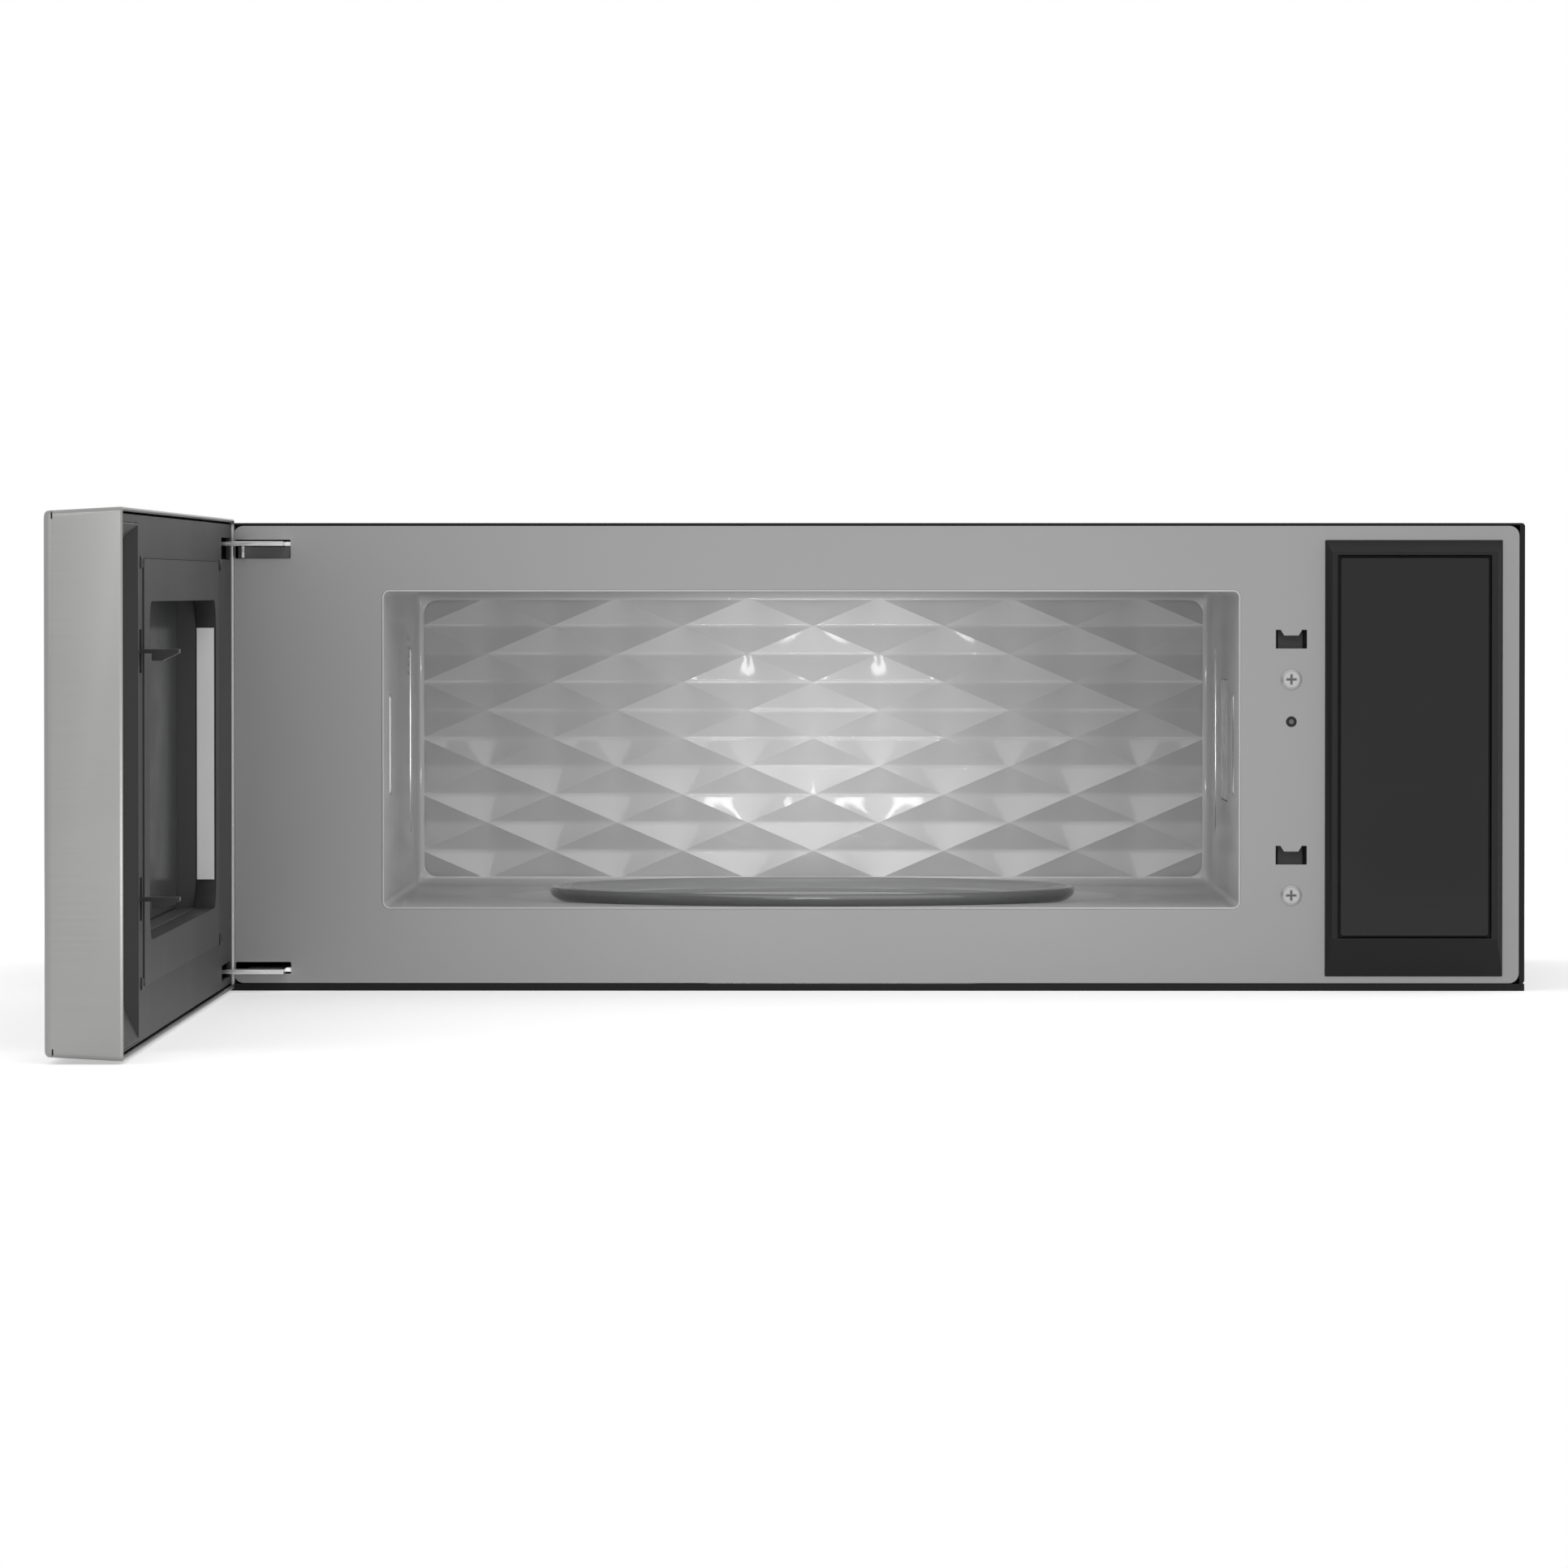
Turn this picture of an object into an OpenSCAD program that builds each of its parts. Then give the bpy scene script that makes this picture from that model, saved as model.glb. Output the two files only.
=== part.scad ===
// Over-the-range microwave: a low cabinet, a turntable oven and a full-width door hinged on the left.
// +X is right, +Y is towards the wall and +Z is up. The origin is the centre of the cabinet's underside.
// The door is drawn open at a right angle, which is its rest position.

/* [Case] */
// Width of the cabinet
case_w = 760; // [750:1:775]
// Height of the cabinet
case_h = 260.4; // [256:0.1:275]
// Depth of the cabinet from its face plate to the wall
case_d = 425; // [420:1:450]
// Thickness of the painted case sheets
sheet = 1.2; // [0.8:0.1:1.5]
// Height of the base pan's upturned lip
base_lip = 4; // [3:0.1:4.2]

/* [Face plate] */
// Thickness of the face plate
face_t = 1.2; // [0.8:0.1:1.5]
// Corner radius of the face plate
face_r = 5.5; // [3:0.5:8]
// Black line between the face plate and the case's right side
face_side_gap = 3.1; // [2:0.1:5]
// Black line between the face plate and the case's top
face_top_gap = 1.6; // [1.5:0.1:2.5]
// Width of the black recess that the door's hinge edge turns in
pocket_w = 41.5; // [41:0.1:43]
// Depth of that recess
pocket_d = 9; // [8:0.5:14]

/* [Cavity] */
// Width of the bay for the electrics, between the cavity and the case's right side
bay_w = 159.2; // [155:0.1:180]
// Room between the cavity and the top of the case
head_room = 38.4; // [37:0.1:48]
// Room behind the cavity, for the blower
rear_room = 59; // [56:1:64]
// Distance from the case's left side to the cavity
cavity_left = 125.3; // [115:0.1:128]
// Height of the cavity floor above the underside
cavity_floor = 46.7; // [45:0.1:52]
// Thickness of the cavity's walls, which show as a bright lip
cavity_wall = 1.2; // [0.8:0.1:1.5]
// Corner radius of the cavity
cavity_r = 2.5; // [1:0.5:6]
// How far the lip stands out of the face plate
lip_out = 0.4; // [0.2:0.1:1]
// Room between the turntable well and the cavity's front and back
well_margin = 7; // [7:0.5:12]
// Width of the slope round the well's flat bottom
well_slope = 16; // [12:0.5:17]
// Depth of the well
well_depth = 18.7; // [17:0.1:20]

/* [Quilted rear wall] */
// Width of one diamond
diamond_w = 78.1; // [60:0.1:100]
// Height of one diamond
diamond_h = 33.6; // [28:0.1:45]
// Depth of the hollow inside a diamond
dimple_depth = 3; // [1:0.1:4]
// Thickness of the rear wall panel
quilt_t = 6; // [5:0.1:8]

/* [Turntable] */
// Room between the glass tray's rim and the edge of the well's flat bottom
tray_clear = 8.5; // [5:0.5:12]
// Height of the glass tray
tray_h = 12; // [10:0.5:14]
// Thickness of the tray glass
tray_t = 4; // [3:0.1:5]
// How far the tray's rim reaches past its flat underside
tray_flare = 26.5; // [24:0.5:29]
// Diameter of a roller
roller_d = 12; // [11:0.1:12.5]
// Length of a roller along its axle
roller_l = 8; // [6:0.5:10]
// Distance from the edge of the tray's flat underside in to the roller track
track_in = 13; // [9:0.5:20]
// Radius of a roller's axle
axle_r = 2; // [1.5:0.1:2.5]
// Width and height of the roller ring's bar
ring_bar = 6; // [5:0.5:7]
// Radius of the turntable motor's shaft
tt_shaft_r = 3.5; // [3:0.1:4]

/* [Control pod] */
// Width of the control pod at the face plate
pod_w = 98.7; // [90:0.1:99]
// Distance from the case's right side to the pod
pod_right = 12.4; // [12:0.1:16]
// Distance from the top of the case down to the pod
pod_drop = 9.5; // [9.3:0.1:20]
// Height of the pod's lower edge above the underside
pod_low = 8.1; // [8:0.1:12]
// How far the pod stands out of the face plate
pod_out = 9; // [6:0.5:9]
// Bevel at the top of the pod
pod_bevel_top = 6.5; // [4:0.1:8]
// Bevel at the foot of the pod
pod_bevel_foot = 21; // [15:0.5:22]
// Bevel at the pod's sides
pod_bevel_side = 3.2; // [2.5:0.1:4]
// Frame left between the bevels and the control glass
pod_frame = 3.6; // [2:0.1:5]
// Dark groove round the control glass
glass_groove = 1.6; // [0.5:0.1:2.5]
// Thickness of the control glass
control_glass_t = 4; // [2:0.5:5]

/* [Latch] */
// Distance from the case's right side to the latch line
latch_right = 129.8; // [128:0.1:132]
// Width of a latch slot
slot_w = 17.2; // [15:0.1:18]
// Height of a latch slot
slot_h = 10.4; // [9.5:0.1:12]
// Distance from the top of the case to the upper latch slot's lower edge
slot_high_drop = 69.8; // [66:0.1:80]
// Height of the lower latch slot's lower edge
slot_low_z = 70.4; // [66:0.1:80]
// Depth of the tab in a latch slot
slot_tab = 3.2; // [2:0.1:3.3]
// How far the catch plates reach above and below each latch slot
catch_margin = 8; // [5:0.5:9]
// Width of a hook blade
hook_w = 12; // [8:0.5:13]
// Thickness of a hook blade
hook_t = 2; // [1.5:0.1:2.2]
// How far a hook reaches out of the closed door
hook_reach = 19; // [14:0.5:21]
// Depth of the barb under a hook
hook_barb = 3.6; // [3:0.1:3.8]
// Travel of the latch bar
latch_travel = 2.5; // [2.2:0.1:2.6]
// Distance from each slot's lower edge down to the screw below it
screw_drop = 17.2; // [15:0.1:20]
// Radius of the screw heads in the face plate
screw_head_r = 5.8; // [4:0.1:6.5]
// Distance from the upper latch slot's lower edge down to the door-sensing plunger
plunger_drop = 40.7; // [36:0.1:50]
// Radius of the door-sensing plunger
plunger_r = 1.35; // [1:0.05:1.6]

/* [Hinge] */
// Distance from the door's hinge edge to its pivot
pivot_in = 21.4; // [21:0.1:22]
// Distance from the face plate to the pivot
pivot_out = 22.9; // [22.5:0.1:23.5]
// Radius of the hinge pins
pin_r = 3; // [2.5:0.1:3.5]
// Running clearance of pins, axles and shafts
running = 0.05; // [0.03:0.01:0.08]
// Radius of the eye on a hinge arm
eye_r = 7; // [6:0.1:7.2]
// Thickness of a hinge arm
arm_t = 2.5; // [2:0.1:3]
// Distance from the top of the case to the upper hinge arm's lower face
arm_high_drop = 12.9; // [12.4:0.1:13.9]
// Height of the lower hinge arm's lower face
arm_low_z = 10.5; // [10:0.1:11]
// Width of a hinge arm's leg
arm_leg_w = 21; // [16:0.5:22]
// Distance from the pivot to the near side of the leg
arm_leg_out = 28.6; // [28:0.1:30]

/* [Door] */
// Thickness of the door
door_t = 37.3; // [37:0.1:39]
// Gap between the closed door and the face plate
door_gap = 2; // [1.8:0.1:2.2]
// Thickness of the stainless skin
skin = 1; // [0.6:0.1:1.2]
// Height of the door's lower rim above the cabinet's underside
door_low = 1.5; // [1.5:0.1:2]
// How far the door's rim stands above the cabinet
door_over = 2.1; // [1.5:0.1:3]
// How far the front face is drawn in from the rim at top and foot
door_draft = 2; // [1:0.1:2.5]
// How far the inner frame lies behind the rim
frame_inset = 2; // [1.5:0.1:2.5]
// Thickness of the inner frame
frame_t = 2; // [1.5:0.1:2.5]
// Distance from the hinge edge to the raised choke cover
choke_left = 108; // [104:1:112]
// Distance from the choke cover to the door's free edge
choke_right = 142; // [138:0.5:150]
// Distance from the top of the case down to the choke cover
choke_drop = 21.7; // [20:0.1:30]
// Height of the choke cover's lower edge
choke_low = 30.3; // [28:0.1:33]
// How far the choke cover is raised
choke_raise = 0.8; // [0.4:0.1:1]
// Width of the choke cover's border round the window
choke_border = 21; // [18:0.5:24]
// Corner radius of the window recess
recess_r = 15; // [8:0.5:18]
// Depth of the rounded part of the recess
recess_step = 10; // [6:0.5:12]
// Depth of the window recess
recess_d = 20; // [16:0.5:22]
// Thickness of a window pane
pane_t = 3; // [2:0.1:4]
// Depth of the funnel round the control pod
funnel_d = 8.2; // [7.2:0.1:10]

/* [Air] */
// Width of a grease filter
filter_w = 127; // [115:1:130]
// Length of a grease filter
filter_l = 228; // [200:1:235]
// Thickness of a grease filter
filter_t = 9; // [8:0.1:10]
// How far a grease filter slides before it drops out
filter_travel = 12; // [8:0.5:12]
// Width of the exhaust duct
duct_w = 254; // [240:1:260]
// Depth of the exhaust duct
duct_d = 82.5; // [75:0.5:85]
// Radius of the blower wheel
blower_r = 68; // [55:1:70]
// Depth of the blower housing
blower_d = 44; // [40:0.5:45]
// Radius of the cooling fan
fan_r = 50; // [40:1:54]
// Side of the cooling fan's square housing
fan_side = 120; // [116:1:130]
// Radius of the fan and blower shafts
fan_shaft_r = 2.5; // [2:0.1:3]

/* [Mounting] */
// Distance between the two bolts that hang the cabinet
bolt_spacing = 600; // [560:1:640]
// Distance from the wall to those bolts
bolt_from_wall = 190; // [150:1:200]
// Radius of the bolt holes
bolt_hole_r = 3.3; // [3:0.1:4]
// Radius of the hole for the mains lead
cord_r = 6; // [4:0.1:7]

/* [Hidden] */
$fn = 48;

// Free gap between pieces of different bodies that meet but don't rub
rest_gap = 0.3;
// Overrun of a cut past the face that it opens
over = 1;

left = -case_w / 2;
right = case_w / 2;
front = -case_d / 2;
back = case_d / 2;
roof = case_h - sheet;
face_x0 = left + pocket_w;
face_x1 = right - face_side_gap;
face_z0 = base_lip + 0.3;
face_z1 = case_h - face_top_gap;
cav_x0 = left + cavity_left;
cav_x1 = right - bay_w;
cav_z1 = case_h - head_room;
cav_back = back - rear_room;
cavity_w = cav_x1 - cav_x0;
cavity_h = cav_z1 - cavity_floor;
cavity_d = cav_back - front;
bay_x = cav_x1 + cavity_wall;
tt_x = (cav_x0 + cav_x1) / 2;
tt_y = front + cavity_d / 2;
well_top_r = cavity_d / 2 - well_margin;
well_floor_r = well_top_r - well_slope;
tray_d = 2 * (well_floor_r - tray_clear);
tray_foot_d = tray_d - 2 * tray_flare;
roller_track_r = tray_foot_d / 2 - track_in;
well_z = cavity_floor - well_depth;
roller_z = well_z + rest_gap + roller_d / 2;
tray_z = roller_z + roller_d / 2 + rest_gap;
latch_x = right - latch_right;
pod_x1 = right - pod_right;
pod_x0 = pod_x1 - pod_w;
pod_z1 = case_h - pod_drop;
glass_x0 = pod_x0 + pod_bevel_side + pod_frame + glass_groove;
glass_x1 = pod_x1 - pod_bevel_side - pod_frame - glass_groove;
glass_z0 = pod_low + pod_bevel_foot + glass_groove + 0.5;
glass_z1 = pod_z1 - pod_bevel_top - glass_groove - 2;
pivot_x = left + pivot_in;
pivot_y = front - pivot_out;
rim_y = front - door_gap;
door_front = rim_y - door_t;
door_z0 = door_low;
door_z1 = case_h + door_over;
frame_back = rim_y - frame_inset;
frame_front = frame_back - frame_t;
slot_high_z = case_h - slot_high_drop;
slot_floors = [slot_high_z, slot_low_z];
plunger_z = slot_high_z - plunger_drop;
arm_high_z = case_h - arm_high_drop;
screw_heights = [for (z = slot_floors) z - screw_drop];
hook_rise = 2;

// A box given by its lower and upper limit along each axis
module block(x0, x1, y0, y1, z0, z1) {
    translate([x0, y0, z0]) cube([x1 - x0, y1 - y0, z1 - z0]);
}

// A flat outline with round corners, in the plane of its first two axes
module round_outline(x0, x1, z0, z1, r) {
    translate([x0 + r, z0]) square([x1 - x0 - 2 * r, z1 - z0]);
    translate([x0, z0 + r]) square([x1 - x0, z1 - z0 - 2 * r]);
    for (x = [x0 + r, x1 - r], z = [z0 + r, z1 - r]) translate([x, z]) circle(r);
}

// A plate that faces the room, with round corners
module face_block(x0, x1, y0, y1, z0, z1, r) {
    translate([0, y1, 0]) rotate([90, 0, 0]) linear_extrude(y1 - y0) round_outline(x0, x1, z0, z1, r);
}

// A plate that lies flat, with round corners
module flat_block(x0, x1, y0, y1, z0, z1, r) {
    translate([0, 0, z0]) linear_extrude(z1 - z0) round_outline(x0, x1, y0, y1, r);
}

// A cylinder along X, Y or Z from one place to another
module rod_x(x0, x1, y, z, r) { translate([x0, y, z]) rotate([0, 90, 0]) cylinder(r = r, h = x1 - x0); }
module rod_y(x, y0, y1, z, r) { translate([x, y1, z]) rotate([90, 0, 0]) cylinder(r = r, h = y1 - y0); }
module rod_z(x, y, z0, z1, r) { translate([x, y, z0]) cylinder(r = r, h = z1 - z0); }

// A cross-head screw that points along +Y, with its head's seat at the origin
module cross_screw(head_r, head_h, shank_r, shank_l) {
    cross_w = head_r / 4;
    cross_l = head_r * 1.1;
    difference() {
        union() {
            rod_y(0, -head_h / 2, 0, 0, head_r);
            translate([0, -head_h / 2, 0]) rotate([90, 0, 0])
                cylinder(r1 = head_r, r2 = head_r * 0.75, h = head_h / 2);
            rod_y(0, -0.01, shank_l, 0, shank_r);
        }
        for (a = [0, 90]) rotate([0, a, 0])
            block(-cross_l / 2, cross_l / 2, -head_h - over, -head_h / 3, -cross_w / 2, cross_w / 2);
    }
}

// Case
latch_slot_side = slot_w / 2;
hinge_slot_x0 = pivot_x + arm_leg_out - 7.4;
hinge_slot_x1 = pivot_x + arm_leg_out + arm_leg_w + 2.4;
arm_flange_drop = 6.5;
filter_apart = 260;
filter_x = [tt_x - filter_apart / 2, tt_x + filter_apart / 2];
filter_floor = sheet + rest_gap;
filter_ledge = 6;
rail_t = 1.2;
lens_w = 150;
lens_l = 36;
lens_y = front + 34;
lens_t = 2;
bolt_y = back - bolt_from_wall;
duct_from_wall = 28;
duct_y = back - duct_from_wall - duct_d / 2;
duct_wall = 1.5;
cord_from_side = 50;
cord_from_wall = 34;
cord_x = right - cord_from_side;
cord_y = back - cord_from_wall;
cord_sleeve = 3;
vent_count = 12;
vent_pitch = 20;
vent_slot = 5;
vent_l = 70;
vent_y = front + 90;
top_screw_x = [for (i = [-1, -0.4, 0.4, 1]) i * (case_w / 2 - 40)];
top_screw_y = back - 8;
top_screw_r = 1.7;
hem_d = 8;

module base_pan() {
    color("dimgray") {
        difference() {
            block(left, right, front, back, 0, base_lip);
            block(left + sheet, right - sheet, front + sheet, back - sheet, sheet, base_lip + over);
            block(left + sheet, face_x0, front - over, front + sheet + over, sheet, base_lip + over);
            for (x = filter_x)
                block(x - filter_w / 2 + filter_ledge, x + filter_w / 2 - filter_ledge,
                    tt_y - filter_l / 2 + filter_ledge, tt_y + filter_l / 2 - filter_ledge,
                    -over, sheet + over);
            block(-lens_w / 2, lens_w / 2, lens_y - lens_l / 2, lens_y + lens_l / 2, -over, sheet + over);
        }
        for (x = filter_x, side = [-1, 1]) filter_rail(x, side);
    }
}

// The bent rail that a grease filter slides in
module filter_rail(x, side) {
    wall = x + side * (filter_w / 2 + rest_gap + rail_t / 2);
    lip = x + side * (filter_w / 2 - 2);
    low = filter_floor + filter_t + rest_gap;
    block(wall - rail_t / 2, wall + rail_t / 2, tt_y - filter_l / 2, tt_y + filter_l / 2 + filter_travel,
        sheet, low + rail_t);
    block(min(wall, lip), max(wall, lip), tt_y - filter_l / 2, tt_y + filter_l / 2 + filter_travel,
        low, low + rail_t);
}

module wrap_cover() {
    color("black") difference() {
        union() {
            difference() {
                face_block(left, right, front, back, base_lip, case_h, 2);
                block(left + sheet, right - sheet, front - over, back + over, base_lip - over, roof);
            }
            block(face_x1 + 0.3, right - sheet, front, front + hem_d, base_lip, roof);
        }
        block(left + sheet, face_x0, front - over, front + pocket_d, roof - over, case_h + over);
        block(-duct_w / 2 - duct_wall - 0.1, duct_w / 2 + duct_wall + 0.1,
            duct_y - duct_d / 2 - duct_wall - 0.1, duct_y + duct_d / 2 + duct_wall + 0.1,
            roof - over, case_h + over);
        for (x = [-bolt_spacing / 2, bolt_spacing / 2]) rod_z(x, bolt_y, roof - over, case_h + over, bolt_hole_r);
        rod_z(cord_x, cord_y, roof - over, case_h + over, cord_r + cord_sleeve);
        for (x = top_screw_x) rod_z(x, top_screw_y, roof - over, case_h + over, top_screw_r);
        for (i = [0 : vent_count - 1]) {
            x = (i - (vent_count - 1) / 2) * vent_pitch;
            block(x - vent_slot / 2, x + vent_slot / 2, vent_y - vent_l / 2, vent_y + vent_l / 2,
                roof - over, case_h + over);
        }
    }
}

wall_hook_x = [-200, 200];
wall_hook_w = 40;
wall_hook_h = 6;
wall_hook_z = case_h - 40;
flange_w = 16;

module rear_panel() {
    color("silver") difference() {
        union() {
            block(left + sheet, right - sheet, back - sheet, back, base_lip, roof);
            block(left + sheet, right - sheet, back - flange_w, back - sheet, roof - sheet, roof);
        }
        for (x = wall_hook_x)
            block(x - wall_hook_w / 2, x + wall_hook_w / 2, back - sheet - over, back + over,
                wall_hook_z, wall_hook_z + wall_hook_h);
        for (x = top_screw_x) rod_z(x, top_screw_y, roof - sheet - over, roof + over, top_screw_r);
    }
}

// The face plate's outer sheet with the oven's mouth cut out
module face_sheet() {
    difference() {
        face_block(face_x0, face_x1, front, front + face_t, face_z0, face_z1, face_r);
        face_block(cav_x0 - cavity_wall, cav_x1 + cavity_wall, front - over, front + face_t + over,
            cavity_floor - cavity_wall, cav_z1 + cavity_wall, cavity_r + cavity_wall);
    }
}

// A full-height bite out of the face plate from x0 to x1
module face_bite(x0, x1) {
    block(x0, x1, front - over, front + face_t + over, face_z0 - over, face_z1 + over);
}

mouth_x1 = cav_x1 + cavity_wall;

module front_frame() {
    color("gray") difference() {
        face_sheet();
        face_bite(mouth_x1, face_x1 + over);
        block(hinge_slot_x0, hinge_slot_x1, front - over, front + face_t + over,
            arm_high_z - arm_flange_drop - 0.4, arm_high_z + arm_t + 1.1);
        block(hinge_slot_x0, hinge_slot_x1, front - over, front + face_t + over,
            arm_low_z - 1, arm_low_z + arm_t + 3);
    }
}

// The face plate's right end, behind the control pod
module control_plate() {
    color("gray") difference() {
        face_sheet();
        face_bite(face_x0 - over, pod_x0);
    }
}

// The upright strip that the latch board is screwed to, in three lengths between the catch plates
module latch_strip() {
    color("gray") difference() {
        face_sheet();
        face_bite(face_x0 - over, mouth_x1);
        face_bite(pod_x0, face_x1 + over);
        for (z = slot_floors)
            block(mouth_x1 - over, pod_x0 + over, front - over, front + face_t + over,
                z - catch_margin, z + slot_h + catch_margin);
        for (z = screw_heights) rod_y(latch_x, front - over, front + face_t + over, z, 2.1);
        rod_y(latch_x, front - over, front + face_t + over, plunger_z, guide_r + 0.05);
    }
}

// The two flush plates whose slots take the door's hooks
module catch_plates() {
    color("gray") for (z = slot_floors) {
        difference() {
            block(mouth_x1, pod_x0, front, front + face_t, z - catch_margin, z + slot_h + catch_margin);
            block(latch_x - latch_slot_side, latch_x + latch_slot_side,
                front - over, front + face_t + over, z, z + slot_h);
        }
        slot_tab_plate(z + slot_h);
    }
}

// The tapered tab that hangs from the top of a latch slot
module slot_tab_plate(top) {
    translate([latch_x, front + face_t, top]) rotate([90, 0, 0]) linear_extrude(face_t)
        polygon([[-6, 0], [-4, -slot_tab], [4, -slot_tab], [6, 0]]);
}

module hinge_pocket() {
    color("black") {
        block(left + sheet, face_x0 + sheet, front + pocket_d, front + pocket_d + sheet, base_lip, roof);
        block(face_x0, face_x0 + sheet, front + face_t, front + pocket_d, base_lip, roof);
    }
}

arm_inner_l = 26;
arm_foot_h = 26;
arm_foot_w = 20;

// A hinge arm: an eye at the pivot, a bar across and a leg that goes back through the face plate
module hinge_arm(z, drop) {
    leg_x = pivot_x + arm_leg_out;
    foot_x0 = hinge_slot_x1;
    foot_z0 = drop > 0 ? z - arm_foot_h : z;
    color("silver") difference() {
        union() {
            rod_z(pivot_x, pivot_y, z, z + arm_t, eye_r);
            block(pivot_x, leg_x + arm_leg_w, pivot_y - eye_r, pivot_y + eye_r, z, z + arm_t);
            block(leg_x, leg_x + arm_leg_w, pivot_y, front + arm_inner_l, z, z + arm_t);
            if (drop > 0)
                block(leg_x - 3, leg_x - 1.5, pivot_y + 9.5, front + arm_inner_l, z - drop, z + arm_t);
            if (drop > 0)
                block(leg_x - 2, leg_x + 1, pivot_y + 9.5, front + arm_inner_l, z, z + arm_t);
            block(foot_x0, foot_x0 + arm_foot_w, front + face_t, front + face_t + arm_t,
                foot_z0, foot_z0 + arm_foot_h + arm_t);
            block(leg_x + arm_leg_w - 0.5, foot_x0 + arm_foot_w, front + face_t, front + arm_inner_l,
                z, z + arm_t);
        }
        rod_z(pivot_x, pivot_y, z - over, z + arm_t + over, pin_r + running);
    }
}
module hinge_arm_upper() { hinge_arm(arm_high_z, arm_flange_drop); }
module hinge_arm_lower() { hinge_arm(arm_low_z, 0); }

// Latch and control pod
board_half = 14;
board_t = 2;
board_d = 26;
board_z0 = slot_low_z - screw_drop - 9;
board_z1 = slot_high_z + slot_h + 8;
guide_r = 2.9;
boss_r = 5;
lever_y = frame_back + hook_reach + rest_gap;
lever_t = 2;
lever_h = 20;
lever_pin_r = 1.5;
lever_hub_r = 3;
lever_w = 14;

module latch_board() {
    y0 = front + face_t;
    color("white") difference() {
        union() {
            block(latch_x - board_half, latch_x + board_half, front + board_d, front + board_d + board_t,
                board_z0, board_z1);
            for (x = [latch_x - board_half, latch_x + board_half - board_t])
                block(x, x + board_t, y0, front + board_d, board_z0, board_z1);
            for (z = screw_heights) rod_y(latch_x, y0, front + board_d, z, boss_r);
            rod_y(latch_x, front - 0.2, front + board_d, plunger_z, guide_r);
            for (z = slot_floors)
                rod_x(latch_x - board_half, latch_x + board_half, lever_y + lever_t / 2,
                    z - lever_hub_r - 3, lever_pin_r);
        }
        for (z = screw_heights) rod_y(latch_x, y0 - over, front + 16, z, 2);
        rod_y(latch_x, front - over, front + board_d + board_t + over, plunger_z, plunger_r + running);
    }
}

// A rocker behind a latch slot that the hook's tip pushes back
module interlock_lever(floor_z) {
    hub_z = floor_z - lever_hub_r - 3;
    hub_y = lever_y + lever_t / 2;
    color("lightgray") difference() {
        union() {
            rod_x(latch_x - lever_w / 2, latch_x + lever_w / 2, hub_y, hub_z, lever_hub_r);
            block(latch_x - lever_w / 2, latch_x + lever_w / 2, lever_y, lever_y + lever_t,
                hub_z, hub_z + lever_h);
        }
        rod_x(latch_x - lever_w, latch_x + lever_w, hub_y, hub_z, lever_pin_r + running);
    }
}
module interlock_lever_upper() { interlock_lever(slot_high_z); }
module interlock_lever_lower() { interlock_lever(slot_low_z); }

switch_w = 8;
switch_h = 20;
switch_d = 12;

module interlock_switches() {
    x1 = latch_x - board_half;
    color("dimgray") for (z = [slot_high_z, plunger_z - 20, slot_low_z]) {
        block(x1 - switch_w, x1, front + 8, front + 8 + switch_d, z, z + switch_h);
        for (i = [0.25, 0.75])
            block(x1 - switch_w / 2 - 0.5, x1 - switch_w / 2 + 0.5, front + 8 + switch_d,
                front + 14 + switch_d, z + i * switch_h - 2, z + i * switch_h + 2);
    }
}

face_screw_l = 15;
face_screw_head = 1.6;
face_shank_r = 1.95;

module face_screws() {
    color("silver") for (z = screw_heights)
        translate([latch_x, front, z]) cross_screw(screw_head_r, face_screw_head, face_shank_r, face_screw_l);
}

module door_sense_plunger() {
    color("lightgray") {
        rod_y(latch_x, front - 1, front + board_d + board_t + 2, plunger_z, plunger_r);
        rod_y(latch_x, front + board_d + board_t + rest_gap, front + board_d + board_t + 2, plunger_z, 3);
    }
}

module control_bezel() {
    back_t = 3;
    color([0.16, 0.16, 0.16]) difference() {
        hull() {
            block(pod_x0, pod_x1, front - 1, front, pod_low, pod_z1);
            block(pod_x0 + pod_bevel_side, pod_x1 - pod_bevel_side, front - pod_out, front - pod_out + 0.1,
                pod_low + pod_bevel_foot, pod_z1 - pod_bevel_top);
        }
        block(glass_x0 - glass_groove, glass_x1 + glass_groove, front - pod_out - over, front - back_t,
            glass_z0 - glass_groove, glass_z1 + glass_groove);
    }
}

module control_glass() {
    color([0.2, 0.2, 0.2]) {
        face_block(glass_x0, glass_x1, front - pod_out, front - pod_out + control_glass_t,
            glass_z0, glass_z1, 1.5);
        block(glass_x0 + 4, glass_x1 - 4, front - pod_out + control_glass_t - 0.1, front - 3,
            glass_z0 + 4, glass_z1 - 4);
    }
}

control_board_t = 1.6;
control_board_in = 12;
control_board_y = front + control_board_in;
chip_pitch = 36;
chip_h = 16;
chip_low = 20;

module control_board() {
    color("green") {
        block(glass_x0, glass_x1, control_board_y, control_board_y + control_board_t, glass_z0, glass_z1);
        for (x = [glass_x0 + 5, glass_x1 - 5], z = [glass_z0 + 5, glass_z1 - 5])
            rod_y(x, front + face_t, control_board_y + 0.1, z, 3);
        for (i = [0 : 4])
            block(glass_x0 + 12, glass_x0 + 12 + 10 + 4 * i, control_board_y + control_board_t - 0.1,
                control_board_y + 12, glass_z0 + chip_low + chip_pitch * i,
                glass_z0 + chip_low + chip_h + chip_pitch * i);
    }
}

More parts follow.
